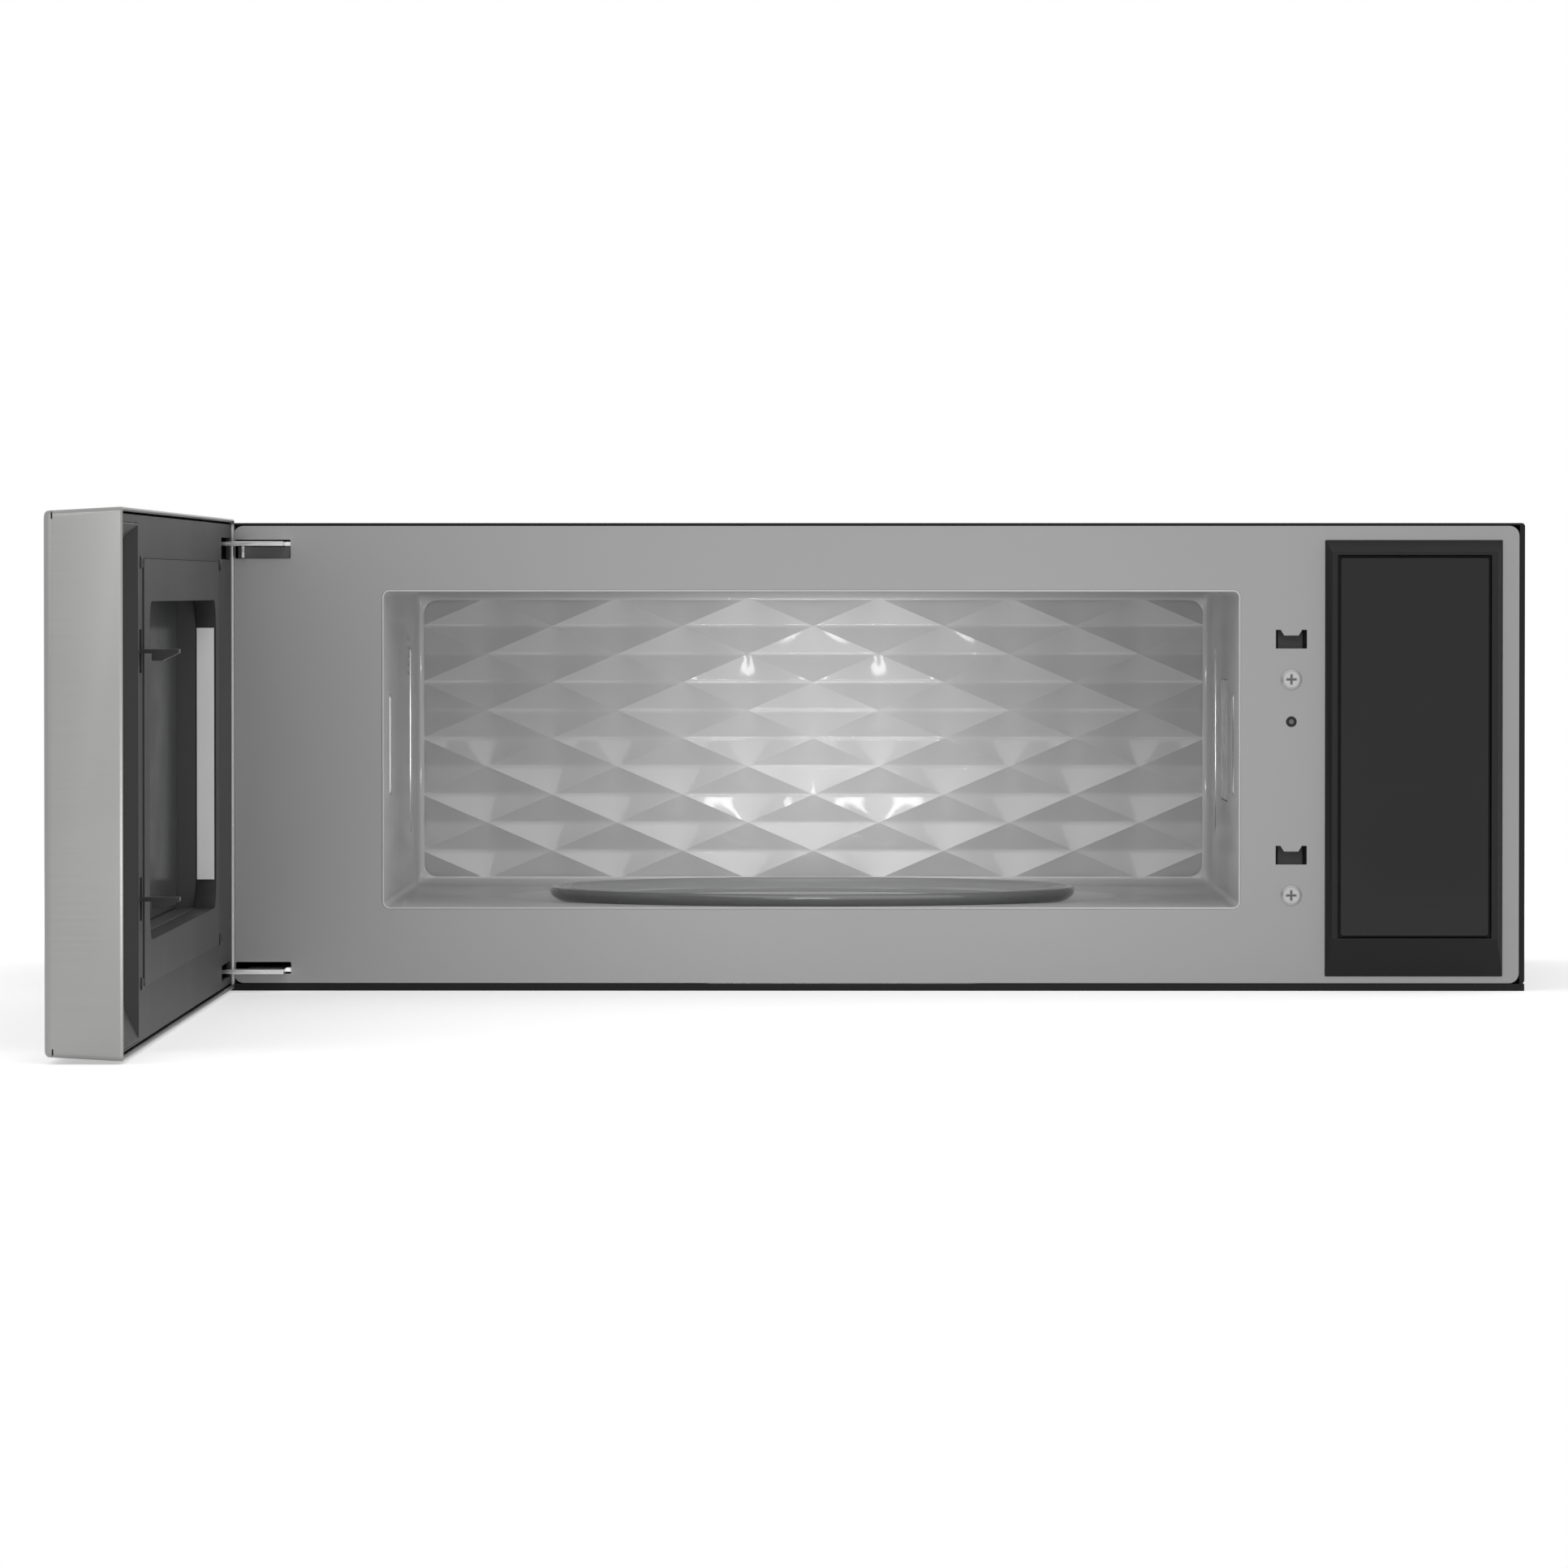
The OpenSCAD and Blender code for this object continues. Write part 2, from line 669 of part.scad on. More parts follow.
// Cavity
guide_open_drop = 50.3;
guide_open_h = 70;
guide_open_w = 90;
guide_open_z1 = cav_z1 - guide_open_drop;
guide_open_z0 = guide_open_z1 - guide_open_h;
guide_open_y0 = tt_y - guide_open_w / 2;
guide_open_y1 = tt_y + guide_open_w / 2;
rear_flange = 9;
lamp_behind = 80;
lamp_open_w = 30;
lamp_open_h = 25;
lamp_drop = 25;
lamp_y0 = tt_y + lamp_behind;
lamp_z1 = cav_z1 - lamp_drop;

module cavity_shell() {
    w = cavity_wall;
    color("gainsboro") difference() {
        union() {
            face_block(cav_x0 - w, cav_x1 + w, front - lip_out, cav_back, cavity_floor - w, cav_z1 + w,
                cavity_r + w);
            face_block(cav_x0 - rear_flange, cav_x1 + rear_flange, cav_back - w, cav_back,
                cavity_floor - rear_flange, cav_z1 + rear_flange, 3);
            translate([tt_x, tt_y, well_z - w])
                cylinder(r1 = well_floor_r + w, r2 = well_top_r + w, h = well_depth + w / 2);
        }
        face_block(cav_x0, cav_x1, front - lip_out - over, cav_back + over, cavity_floor, cav_z1, cavity_r);
        translate([tt_x, tt_y, well_z])
            cylinder(r1 = well_floor_r, r2 = well_top_r + 0.2, h = well_depth + 0.02);
        rod_z(tt_x, tt_y, well_z - w - over, well_z + over, tt_shaft_r + 1.5);
        block(cav_x1 - over, bay_x + over, guide_open_y0, guide_open_y1, guide_open_z0, guide_open_z1);
        block(cav_x0 - w - over, cav_x0 + over, lamp_y0, lamp_y0 + lamp_open_w,
            lamp_z1 - lamp_open_h, lamp_z1);
    }
}

// The rear wall is pressed into diamonds, each with a smooth hollow and sharp borders.
// A diamond spans six steps each way, so the mesh follows its borders exactly.
quilt_steps = 6;
quilt_dx = diamond_w / quilt_steps;
quilt_dz = diamond_h / quilt_steps;
quilt_nx = ceil((cavity_w / 2 + 2) / quilt_dx);
quilt_nz = ceil((cavity_h / 2 + 1) / quilt_dz);
quilt_cx = tt_x;
quilt_cz = cavity_floor + cavity_h / 2;

// Distance from the middle of the nearest diamond along one slanted direction, from -1 to 1
function slant(s) = s - 2 * floor(s / 2) - 1;
// Depth of the hollow at a place measured from the wall's middle
function hollow(x, z) = let(
    p = slant(2 * x / diamond_w + 2 * z / diamond_h),
    q = slant(2 * x / diamond_w - 2 * z / diamond_h)
) dimple_depth * (1 - p * p) * (1 - q * q);

function quilt_index(i, j) = (j + quilt_nz) * (2 * quilt_nx + 1) + i + quilt_nx;

module cavity_rear_quilt() {
    nx = quilt_nx;
    nz = quilt_nz;
    rows = 2 * nz + 1;
    cols = 2 * nx + 1;
    skin_points = [for (j = [-nz : nz], i = [-nx : nx])
        let(x = i * quilt_dx, z = j * quilt_dz) [quilt_cx + x, cav_back + hollow(x, z), quilt_cz + z]];
    rim = concat(
        [for (i = [-nx : nx - 1]) [i, -nz]], [for (j = [-nz : nz - 1]) [nx, j]],
        [for (i = [-nx : nx - 1]) [-i, nz]], [for (j = [-nz : nz - 1]) [-nx, -j]]);
    back_points = [for (c = rim) [quilt_cx + c[0] * quilt_dx, cav_back + quilt_t, quilt_cz + c[1] * quilt_dz]];
    first_back = rows * cols;
    count = len(rim);
    skin_faces = [for (j = [-nz : nz - 1], i = [-nx : nx - 1])
        let(a = quilt_index(i, j), b = quilt_index(i + 1, j),
            c = quilt_index(i + 1, j + 1), d = quilt_index(i, j + 1),
            falling = ((i - j) % quilt_steps == 0))
        each falling ? [[a, c, b], [a, d, c]] : [[a, d, b], [b, d, c]]];
    side_faces = [for (k = [0 : count - 1])
        let(n = (k + 1) % count,
            s0 = quilt_index(rim[k][0], rim[k][1]), s1 = quilt_index(rim[n][0], rim[n][1]))
        each [[s0, s1, first_back + n], [s0, first_back + n, first_back + k]]];
    middle = [quilt_cx, cav_back + quilt_t, quilt_cz];
    back_faces = [for (k = [0 : count - 1])
        [first_back + k, first_back + (k + 1) % count, first_back + count]];
    color("gainsboro")
        polyhedron(concat(skin_points, back_points, [middle]),
            concat(skin_faces, side_faces, back_faces), 10);
}

// Microwave power
guide_w = 36;
guide_t = 1.2;
guide_foot = 10;
guide_head = 45;
guide_z0 = guide_open_z0 - guide_foot;
guide_z1 = guide_open_z1 + guide_head;
magnetron_x = bay_x + guide_w;
magnetron_front = 20;
magnetron_down = 28;
magnetron_y = tt_y - magnetron_front;
magnetron_z = guide_z1 - magnetron_down;
magnetron_w = 78;
magnetron_d = 80;
magnetron_h = 62;
magnetron_plate = 3;
fin_in = 4;
fin_t = 1;
yoke_t = 2;
anode_r = 20;
box_w = 20;
box_half = 22;
antenna_r = 9;
antenna_l = 22;

module waveguide() {
    color("silver") difference() {
        block(bay_x, bay_x + guide_w, guide_open_y0 - 4, guide_open_y1 + 4, guide_z0, guide_z1);
        block(bay_x - over, bay_x + guide_w - guide_t, guide_open_y0 - 4 + guide_t, guide_open_y1 + 4 - guide_t,
            guide_z0 + guide_t, guide_z1 - guide_t);
        rod_x(bay_x, bay_x + guide_w + over, magnetron_y, magnetron_z, antenna_r + 0.5);
    }
}

module magnetron() {
    x0 = magnetron_x;
    fins = 8;
    color("darkgray") {
        x1 = x0 + magnetron_w - box_w;
        block(x0, x0 + magnetron_plate, magnetron_y - magnetron_d / 2, magnetron_y + magnetron_d / 2,
            magnetron_z - magnetron_h / 2, magnetron_z + magnetron_h / 2);
        for (i = [1 : fins]) {
            x = x0 + i * (magnetron_w - box_w) / (fins + 1);
            block(x, x + fin_t, magnetron_y - magnetron_d / 2 + fin_in, magnetron_y + magnetron_d / 2 - fin_in,
                magnetron_z - magnetron_h / 2 + fin_in, magnetron_z + magnetron_h / 2 - fin_in);
        }
        for (side = [-1, 1]) {
            z = magnetron_z + side * (magnetron_h - yoke_t) / 2;
            block(x0, x1 + yoke_t, magnetron_y - magnetron_d / 2, magnetron_y + magnetron_d / 2,
                z - yoke_t / 2, z + yoke_t / 2);
        }
        rod_x(x0, x1 + yoke_t, magnetron_y, magnetron_z, anode_r);
        block(x1, x1 + box_w, magnetron_y - box_half, magnetron_y + box_half,
            magnetron_z - box_half, magnetron_z + box_half);
        rod_x(x0 - antenna_l, x0 + 1, magnetron_y, magnetron_z, antenna_r);
    }
}

shelf_x0 = bay_x + 3;
shelf_x1 = right - sheet - 2;
shelf_y0 = tt_y - 110;
shelf_y1 = back - 60;
shelf_z = filter_floor + filter_t + 3.5;

module component_shelf() {
    color("silver") {
        block(shelf_x0, shelf_x1, shelf_y0, shelf_y1, shelf_z, shelf_z + sheet);
        for (x = [shelf_x0, shelf_x1 - 12], y = [shelf_y0, shelf_y1 - sheet])
            block(x, x + 12, y, y + sheet, sheet, shelf_z + 0.1);
    }
}

core_w = 90;
core_d = 64;
core_h = 76;
coil_out = 12;
core_foot = 8;
core_gap = 5;
core_front = 20;

module hv_transformer() {
    x0 = bay_x + guide_w + core_gap + core_foot;
    y0 = tt_y - core_front;
    z0 = shelf_z + sheet;
    color("darkslategray") {
        difference() {
            block(x0, x0 + core_w, y0, y0 + core_d, z0, z0 + core_h);
            for (s = [0.25, 0.75])
                block(x0 + s * core_w - 9, x0 + s * core_w + 9, y0 - over, y0 + core_d + over,
                    z0 + 18, z0 + core_h - 18);
        }
        block(x0 - core_foot, x0 + core_w + core_foot, y0 + 6, y0 + core_d - 6, z0, z0 + 3);
    }
    color("peru")
        flat_block(x0 + core_w * 0.25 - 8.5, x0 + core_w * 0.75 + 8.5, y0 - coil_out, y0 + core_d + coil_out,
            z0 + 19, z0 + core_h - 19, 8);
}

module hv_capacitor() {
    x0 = shelf_x0 + 20;
    y0 = tt_y + 80;
    z0 = shelf_z + sheet;
    color("lightsteelblue") {
        flat_block(x0, x0 + 52, y0, y0 + 34, z0, z0 + 78, 16);
        for (x = [x0 + 16, x0 + 36]) block(x - 3, x + 3, y0 + 16.5, y0 + 17.5, z0 + 77, z0 + 88);
    }
    color("black") {
        rod_x(x0 + 18, x0 + 34, y0 + 17, z0 + 84, 3);
    }
}

filter_board_side = 18;
filter_board_front = 80;
filter_board_x = bay_x + filter_board_side;
filter_board_y = tt_y - filter_board_front;
filter_board_drop = 12;
filter_board_w = 100;
filter_board_l = 60;
filter_board_t = 1.6;
post_in = 5;
post_r = 3;
choke_coil_r = 14;
choke_coil_h = 14;
relay_w = 30;
relay_l = 36;
relay_h = 12;

module filter_board() {
    x0 = filter_board_x;
    y0 = filter_board_y;
    z1 = roof - filter_board_drop;
    color("darkgreen") {
        x1 = x0 + filter_board_w;
        y1 = y0 + filter_board_l;
        block(x0, x1, y0, y1, z1 - filter_board_t, z1);
        for (x = [x0 + post_in, x1 - post_in], y = [y0 + post_in, y1 - post_in])
            rod_z(x, y, z1 - 0.1, roof, post_r);
        rod_z(x0 + 2 * choke_coil_r + 2, (y0 + y1) / 2, z1 - choke_coil_h, z1 - filter_board_t + 0.1, choke_coil_r);
        block(x1 - relay_w - 15, x1 - 15, (y0 + y1 - relay_l) / 2, (y0 + y1 + relay_l) / 2,
            z1 - relay_h, z1 - filter_board_t + 0.1);
    }
}

// Cooling fan: the axis runs along Y
fan_x = (bay_x + right - sheet) / 2;
fan_drop = 114.2;
fan_z = case_h - fan_drop;
fan_d = 38;
hub_r = 14;
blade_half = 11;
blade_t = 2;
blade_tilt = 38;
wheel_front = 4;
wheel_back = 15;
fan_y1 = back - sheet;
fan_y0 = fan_y1 - fan_d;
fan_blades = 5;
fan_motor_r = 18;

module cooling_fan_housing() {
    color([0.25, 0.25, 0.25]) difference() {
        union() {
            difference() {
                face_block(fan_x - fan_side / 2, fan_x + fan_side / 2, fan_y0, fan_y1,
                    fan_z - fan_side / 2, fan_z + fan_side / 2, 6);
                rod_y(fan_x, fan_y0 - over, fan_y1 - 3, fan_z, fan_r + 3);
                rod_y(fan_x, fan_y1 - 4, fan_y1 + over, fan_z, fan_r - 10);
            }
            for (a = [0, 90, 180, 270])
                translate([fan_x, 0, fan_z]) rotate([0, a, 0])
                    block(0, fan_r - 6, fan_y1 - 3, fan_y1, -3, 3);
            rod_y(fan_x, fan_y1 - 14, fan_y1, fan_z, fan_motor_r);
            rod_y(fan_x, fan_y0 + 2, fan_y1, fan_z, fan_shaft_r);
        }
    }
}

module cooling_fan_wheel() {
    y0 = fan_y0 + wheel_front;
    y1 = fan_y1 - wheel_back;
    color("white") difference() {
        union() {
            rod_y(fan_x, y0, y1, fan_z, hub_r);
            for (i = [0 : fan_blades - 1])
                translate([fan_x, (y0 + y1) / 2, fan_z]) rotate([0, i * 360 / fan_blades, 0])
                    rotate([blade_tilt, 0, 0])
                        block(hub_r - 4, fan_r - 1, -blade_t / 2, blade_t / 2, -blade_half, blade_half);
        }
        rod_y(fan_x, y0 - over, y1 + over, fan_z, fan_shaft_r + running);
    }
}

// Blower behind the cavity: the axis runs along Y and the outlet points up
blower_x = 0;
scroll_gap = 18;
scroll_foot = 24;
outlet_drop = 22;
blower_wall = 1.5;
blower_y1 = back - sheet;
blower_y0 = blower_y1 - blower_d;
scroll_r = blower_r + scroll_gap;
blower_z = base_lip + scroll_r + scroll_foot;
outlet_top = roof - outlet_drop;
blower_blades = 24;
motor_r = 32;
motor_l = 28;

module blower_housing() {
    w = blower_wall;
    color("silver") difference() {
        union() {
            rod_y(blower_x, blower_y0, blower_y1, blower_z, scroll_r);
            block(blower_x, blower_x + scroll_r, blower_y0, blower_y1, blower_z, outlet_top);
            block(blower_x - scroll_r - 6, blower_x + scroll_r + 6, blower_y1 - w, blower_y1,
                blower_z - 8, blower_z + 8);
        }
        rod_y(blower_x, blower_y0 + w, blower_y1 - w, blower_z, scroll_r - w);
        block(blower_x + w, blower_x + scroll_r - w, blower_y0 + w, blower_y1 - w, blower_z, outlet_top + over);
        rod_y(blower_x, blower_y0 - over, blower_y0 + w + over, blower_z, blower_r - 12);
    }
}

module blower_motor() {
    color("dimgray") {
        rod_y(blower_x, blower_y1 - blower_wall - motor_l, blower_y1 - blower_wall, blower_z, motor_r);
        rod_y(blower_x, blower_y0 + 4, blower_y1 - blower_wall - 1, blower_z, fan_shaft_r);
    }
}

module blower_wheel() {
    y0 = blower_y0 + blower_wall + 2;
    y1 = blower_y1 - blower_wall - 2;
    plate = 1.5;
    hub_y1 = blower_y1 - blower_wall - motor_l - 1;
    color("gainsboro") difference() {
        union() {
            rod_y(blower_x, y0 + 2, hub_y1, blower_z, 9);
            difference() {
                rod_y(blower_x, y0, y0 + plate, blower_z, blower_r);
                rod_y(blower_x, y0 - over, y0 + plate + over, blower_z, blower_r - 9);
            }
            difference() {
                rod_y(blower_x, y1 - plate, y1, blower_z, blower_r);
                rod_y(blower_x, y1 - plate - over, y1 + over, blower_z, blower_r - 9);
            }
            rod_y(blower_x, hub_y1 - plate - 1, hub_y1 - 1, blower_z, blower_r - 1);
            for (i = [0 : blower_blades - 1])
                translate([blower_x, 0, blower_z]) rotate([0, i * 360 / blower_blades, 0])
                    block(blower_r - 8.5, blower_r - 0.5, y0, y1, -0.6, 0.6);
        }
        rod_y(blower_x, y0 - over, hub_y1 + over, blower_z, fan_shaft_r + running);
    }
}

// Exhaust: a collar under the roof with a flap that the air lifts
collar_h = 20;
flap_t = 1.2;
flap_drop = 10;
flap_z = case_h - flap_drop;
flap_pin_r = 2;
flap_y = duct_y - duct_d / 2 + 4;

module exhaust_adapter() {
    x0 = duct_w / 2;
    y0 = duct_d / 2;
    color("silver") difference() {
        union() {
            block(-x0 - duct_wall, x0 + duct_wall, duct_y - y0 - duct_wall, duct_y + y0 + duct_wall,
                case_h - collar_h, case_h);
            block(-x0 - 10, x0 + 10, duct_y - y0 - 8, duct_y + y0 + 8, roof - sheet, roof);
        }
        difference() {
            block(-x0, x0, duct_y - y0, duct_y + y0, case_h - collar_h - over, case_h + over);
            block(-x0 - over, x0 + over, duct_y + y0 - 3, duct_y + y0 + over,
                flap_z - flap_t - rest_gap - 1.2, flap_z - flap_t - rest_gap);
        }
        rod_x(-x0 - 10, x0 + 10, flap_y, flap_z - flap_t / 2, flap_pin_r + running);
    }
}

module damper_flap() {
    x0 = duct_w / 2 - 1;
    zc = flap_z - flap_t / 2;
    color("silver") {
        block(-x0, x0, flap_y, duct_y + duct_d / 2 - 0.8, flap_z - flap_t, flap_z);
        rod_x(-x0, x0, flap_y, zc, 3);
        rod_x(-duct_w / 2 - duct_wall, duct_w / 2 + duct_wall, flap_y, zc, flap_pin_r);
    }
}

charcoal_h = 14;
charcoal_rim = 5;
charcoal_web = 3;

module charcoal_filter() {
    z0 = cav_z1 + cavity_wall;
    x1 = (vent_count / 2) * vent_pitch;
    color("black") difference() {
        block(-x1, x1, vent_y - vent_l / 2 - charcoal_rim, vent_y + vent_l / 2 + charcoal_rim,
            z0, z0 + charcoal_h);
        for (i = [0 : vent_count - 1])
            block(-x1 + i * vent_pitch + charcoal_web, -x1 + (i + 1) * vent_pitch - charcoal_web,
                vent_y - vent_l / 2, vent_y + vent_l / 2, z0 + charcoal_h - charcoal_web, z0 + charcoal_h + over);
    }
}

// Turntable
module turntable_motor() {
    top = well_z - cavity_wall;
    color("silver") {
        rod_z(tt_x, tt_y, top - 14, top, 25);
        block(tt_x - 33, tt_x + 33, tt_y - 6, tt_y + 6, top - 1.2, top);
        rod_z(tt_x, tt_y, top - 1, tray_z - 3, tt_shaft_r);
    }
}

coupler_r = 24;
coupler_hub_r = 11;
arm_count = 3;

module turntable_coupler() {
    z0 = well_z + 2;
    z1 = tray_z - rest_gap;
    color("white") difference() {
        union() {
            rod_z(tt_x, tt_y, z0, z1, coupler_hub_r);
            for (i = [0 : arm_count - 1])
                translate([tt_x, tt_y, 0]) rotate([0, 0, i * 360 / arm_count])
                    block(0, coupler_r, -3.5, 3.5, z1 - 5, z1);
        }
        rod_z(tt_x, tt_y, z0 - over, tray_z - 2, tt_shaft_r + running);
    }
}

module roller_ring() {
    r1 = roller_track_r - roller_l / 2 - 1;
    color("white") {
        translate([tt_x, tt_y, roller_z - ring_bar / 2]) rotate_extrude()
            translate([r1 - ring_bar, 0]) square([ring_bar, ring_bar]);
        for (i = [0 : 2])
            translate([tt_x, tt_y, roller_z]) rotate([0, 0, roller_angle(i)])
                rod_x(r1 - 1, roller_track_r + roller_l / 2 + 0.5, 0, 0, axle_r);
    }
}

function roller_angle(i) = 90 + 120 * i;

module roller(i) {
    color("white") translate([tt_x, tt_y, roller_z]) rotate([0, 0, roller_angle(i)]) difference() {
        rod_x(roller_track_r - roller_l / 2, roller_track_r + roller_l / 2, 0, 0, roller_d / 2);
        rod_x(roller_track_r - roller_l, roller_track_r + roller_l, 0, 0, axle_r + running);
    }
}
module roller_1() { roller(0); }
module roller_2() { roller(1); }
module roller_3() { roller(2); }

lug_r = 15;

module glass_tray() {
    foot = tray_foot_d / 2;
    rim = tray_d / 2;
    bend = 5;
    // The wall rises from the foot in a quarter of an ellipse
    outer = [for (i = [0 : bend])
        [foot + (rim - foot) * sin(90 * i / bend), (tray_h - 2) * (1 - cos(90 * i / bend))]];
    inner = [for (i = [bend : -1 : 0])
        [foot - 1 + (rim - foot - tray_t + 1) * sin(90 * i / bend),
            tray_t + (tray_h - tray_t) * (1 - cos(90 * i / bend))]];
    color([0.8, 0.85, 0.85, 0.5]) {
        translate([tt_x, tt_y, tray_z]) rotate_extrude()
            polygon(concat([[0, 0]], outer, [[rim - 0.6, tray_h - 0.6], [rim - 2, tray_h]], inner, [[0, tray_t]]));
        for (i = [0 : arm_count - 1])
            translate([tt_x, tt_y, 0]) rotate([0, 0, (i + 0.5) * 360 / arm_count])
                rod_z(coupler_hub_r + 6, 0, tray_z - 4, tray_z + 0.5, 4);
    }
}

// Lights and small parts
module cavity_lamp() {
    x1 = cav_x0 - cavity_wall;
    y0 = lamp_y0 - 2;
    z0 = lamp_z1 - lamp_open_h - 2;
    color("white") {
        block(x1 - 2, x1, y0 - 4, y0 + 38, z0 - 2, z0 + 31);
        block(x1 - 26, x1 - 1, y0 + 32, y0 + 36, z0, z0 + 29);
        rod_y(x1 - 13, y0 + 14, y0 + 33, z0 + 14, 7);
    }
    color("lightyellow") translate([x1 - 13, y0 + 12, z0 + 14]) sphere(9);
}

module grease_filter(x) {
    z0 = filter_floor;
    y0 = tt_y - filter_l / 2;
    y1 = tt_y + filter_l / 2;
    x0 = x - filter_w / 2;
    x1 = x + filter_w / 2;
    rim = 7;
    color("silver") {
        difference() {
            block(x0, x1, y0, y1, z0, z0 + filter_t);
            for (z = [z0 - over, z0 + filter_t - 1])
                block(x0 + rim, x1 - rim, y0 + rim, y1 - rim, z, z + over + 1);
        }
        block(x - 8, x + 8, y0 + rim + 2, y0 + rim + 8, z0 + 0.2, z0 + 2);
    }
}
module grease_filter_left() { grease_filter(filter_x[0]); }
module grease_filter_right() { grease_filter(filter_x[1]); }

module cooktop_lens() {
    gap = 0.2;
    color([0.9, 0.9, 0.85, 0.6]) {
        block(-lens_w / 2 + gap, lens_w / 2 - gap, lens_y - lens_l / 2 + gap, lens_y + lens_l / 2 - gap,
            0, lens_t);
        block(-lens_w / 2 - 4, lens_w / 2 + 4, lens_y - lens_l / 2 - 4, lens_y + lens_l / 2 + 4,
            sheet, sheet + lens_t);
    }
}

module cooktop_lamps() {
    z0 = sheet + lens_t;
    color("white") for (x = [-lens_w / 4, lens_w / 4]) {
        block(x - 14, x + 14, lens_y + 12, lens_y + 20, z0, z0 + 22);
        rod_y(x, lens_y - 4, lens_y + 13, z0 + 11, 7);
        translate([x, lens_y - 5, z0 + 11]) sphere(8);
    }
}

module cord_grommet() {
    color("black") translate([cord_x, cord_y, roof - 4]) difference() {
        union() {
            cylinder(r = cord_r + cord_sleeve - 0.1, h = 4 + sheet);
            cylinder(r = cord_r + cord_sleeve + 3, h = 4);
            translate([0, 0, 4 + sheet]) cylinder(r = cord_r + cord_sleeve + 3, h = 1.5);
        }
        translate([0, 0, -over]) cylinder(r = cord_r, h = 10);
    }
}

module case_screws() {
    color("silver") for (x = top_screw_x) translate([x, top_screw_y, case_h]) rotate([-90, 0, 0])
        cross_screw(4, 1.2, top_screw_r - 0.05, 8);
}

// Door, drawn closed and then swung open about its pivot
module open_door() {
    translate([pivot_x, pivot_y, 0]) rotate([0, 0, -90]) translate([-pivot_x, -pivot_y, 0]) children();
}

choke_x0 = left + choke_left;
choke_x1 = right - choke_right;
choke_z1 = case_h - choke_drop;
win_x0 = choke_x0 + choke_border;
win_x1 = choke_x1 - choke_border - 12;
win_z0 = choke_low + choke_border;
win_z1 = choke_z1 - choke_border;
recess_y = frame_back - recess_d;
tunnel_x0 = pod_x0 + 1.6;
tunnel_x1 = pod_x1 - 1.1;
tunnel_z0 = pod_low + 14.5;
tunnel_z1 = pod_z1 - 2.5;
mouth_side = 4;
mouth_z0 = door_z0 + 5;
mouth_z1 = door_z1 - 7.8;
tunnel_wall = 1.2;
skin_back = door_front + skin;
skirt_t = 1.5;
skirt_x0 = left + skin + 0.1;
skirt_x1 = right - skin - 0.1;
skirt_z0 = door_z0 + skin + door_draft;
skirt_z1 = door_z1 - skin - door_draft;
rim_turn = 1.8;
relief_w = 0.8;
relief_h = 5;
relief_in = 3.5;
glass_lap = 6;
view_x0 = win_x0 - 12;
view_x1 = win_x1 + 12;
view_z0 = win_z0 - 8;
view_z1 = win_z1 + 8;

// The skin's outside narrows from the rim to the front face at top and foot
module door_wedge(inset, y0, y1) {
    hull() {
        block(left + inset, right - inset, y1 - 0.01, y1, door_z0 + inset, door_z1 - inset);
        block(left + inset, right - inset, y0, y0 + 0.01, door_z0 + door_draft + inset,
            door_z1 - door_draft - inset);
    }
}

module door_shell() {
    color("silver") open_door() difference() {
        door_wedge(0, door_front, rim_y);
        difference() {
            door_wedge(skin, skin_back, rim_y + over);
            difference() {
                block(left, right, rim_y - skin, rim_y, 0, door_z1 + over);
                block(left + rim_turn, right - rim_turn, rim_y - skin - over, rim_y + over,
                    door_z0 + rim_turn, door_z1 - rim_turn);
            }
        }
        block(view_x0, view_x1, door_front - over, skin_back + over, view_z0, view_z1);
        block(tunnel_x0 - tunnel_wall, tunnel_x1 + tunnel_wall, door_front - over, skin_back + over,
            tunnel_z0 - tunnel_wall, tunnel_z1 + tunnel_wall);
        for (z = [door_z0, door_z1])
            block(right - skin - over, right + over, door_front + relief_in, door_front + relief_in + relief_w,
                z - relief_h, z + relief_h);
    }
}

bar_x0 = latch_x - 3;
bar_x1 = latch_x + 3;
bar_t = 4;
bar_y1 = frame_front - 4;
bar_z0 = slot_low_z - 10;
bar_z1 = slot_high_z + 15;
bar_stop_z = bar_z1 + 18;
guide_z = slot_high_z + hook_rise + hook_t + latch_travel + 1;
spring_r = 3;
hook_slot_h = 21;

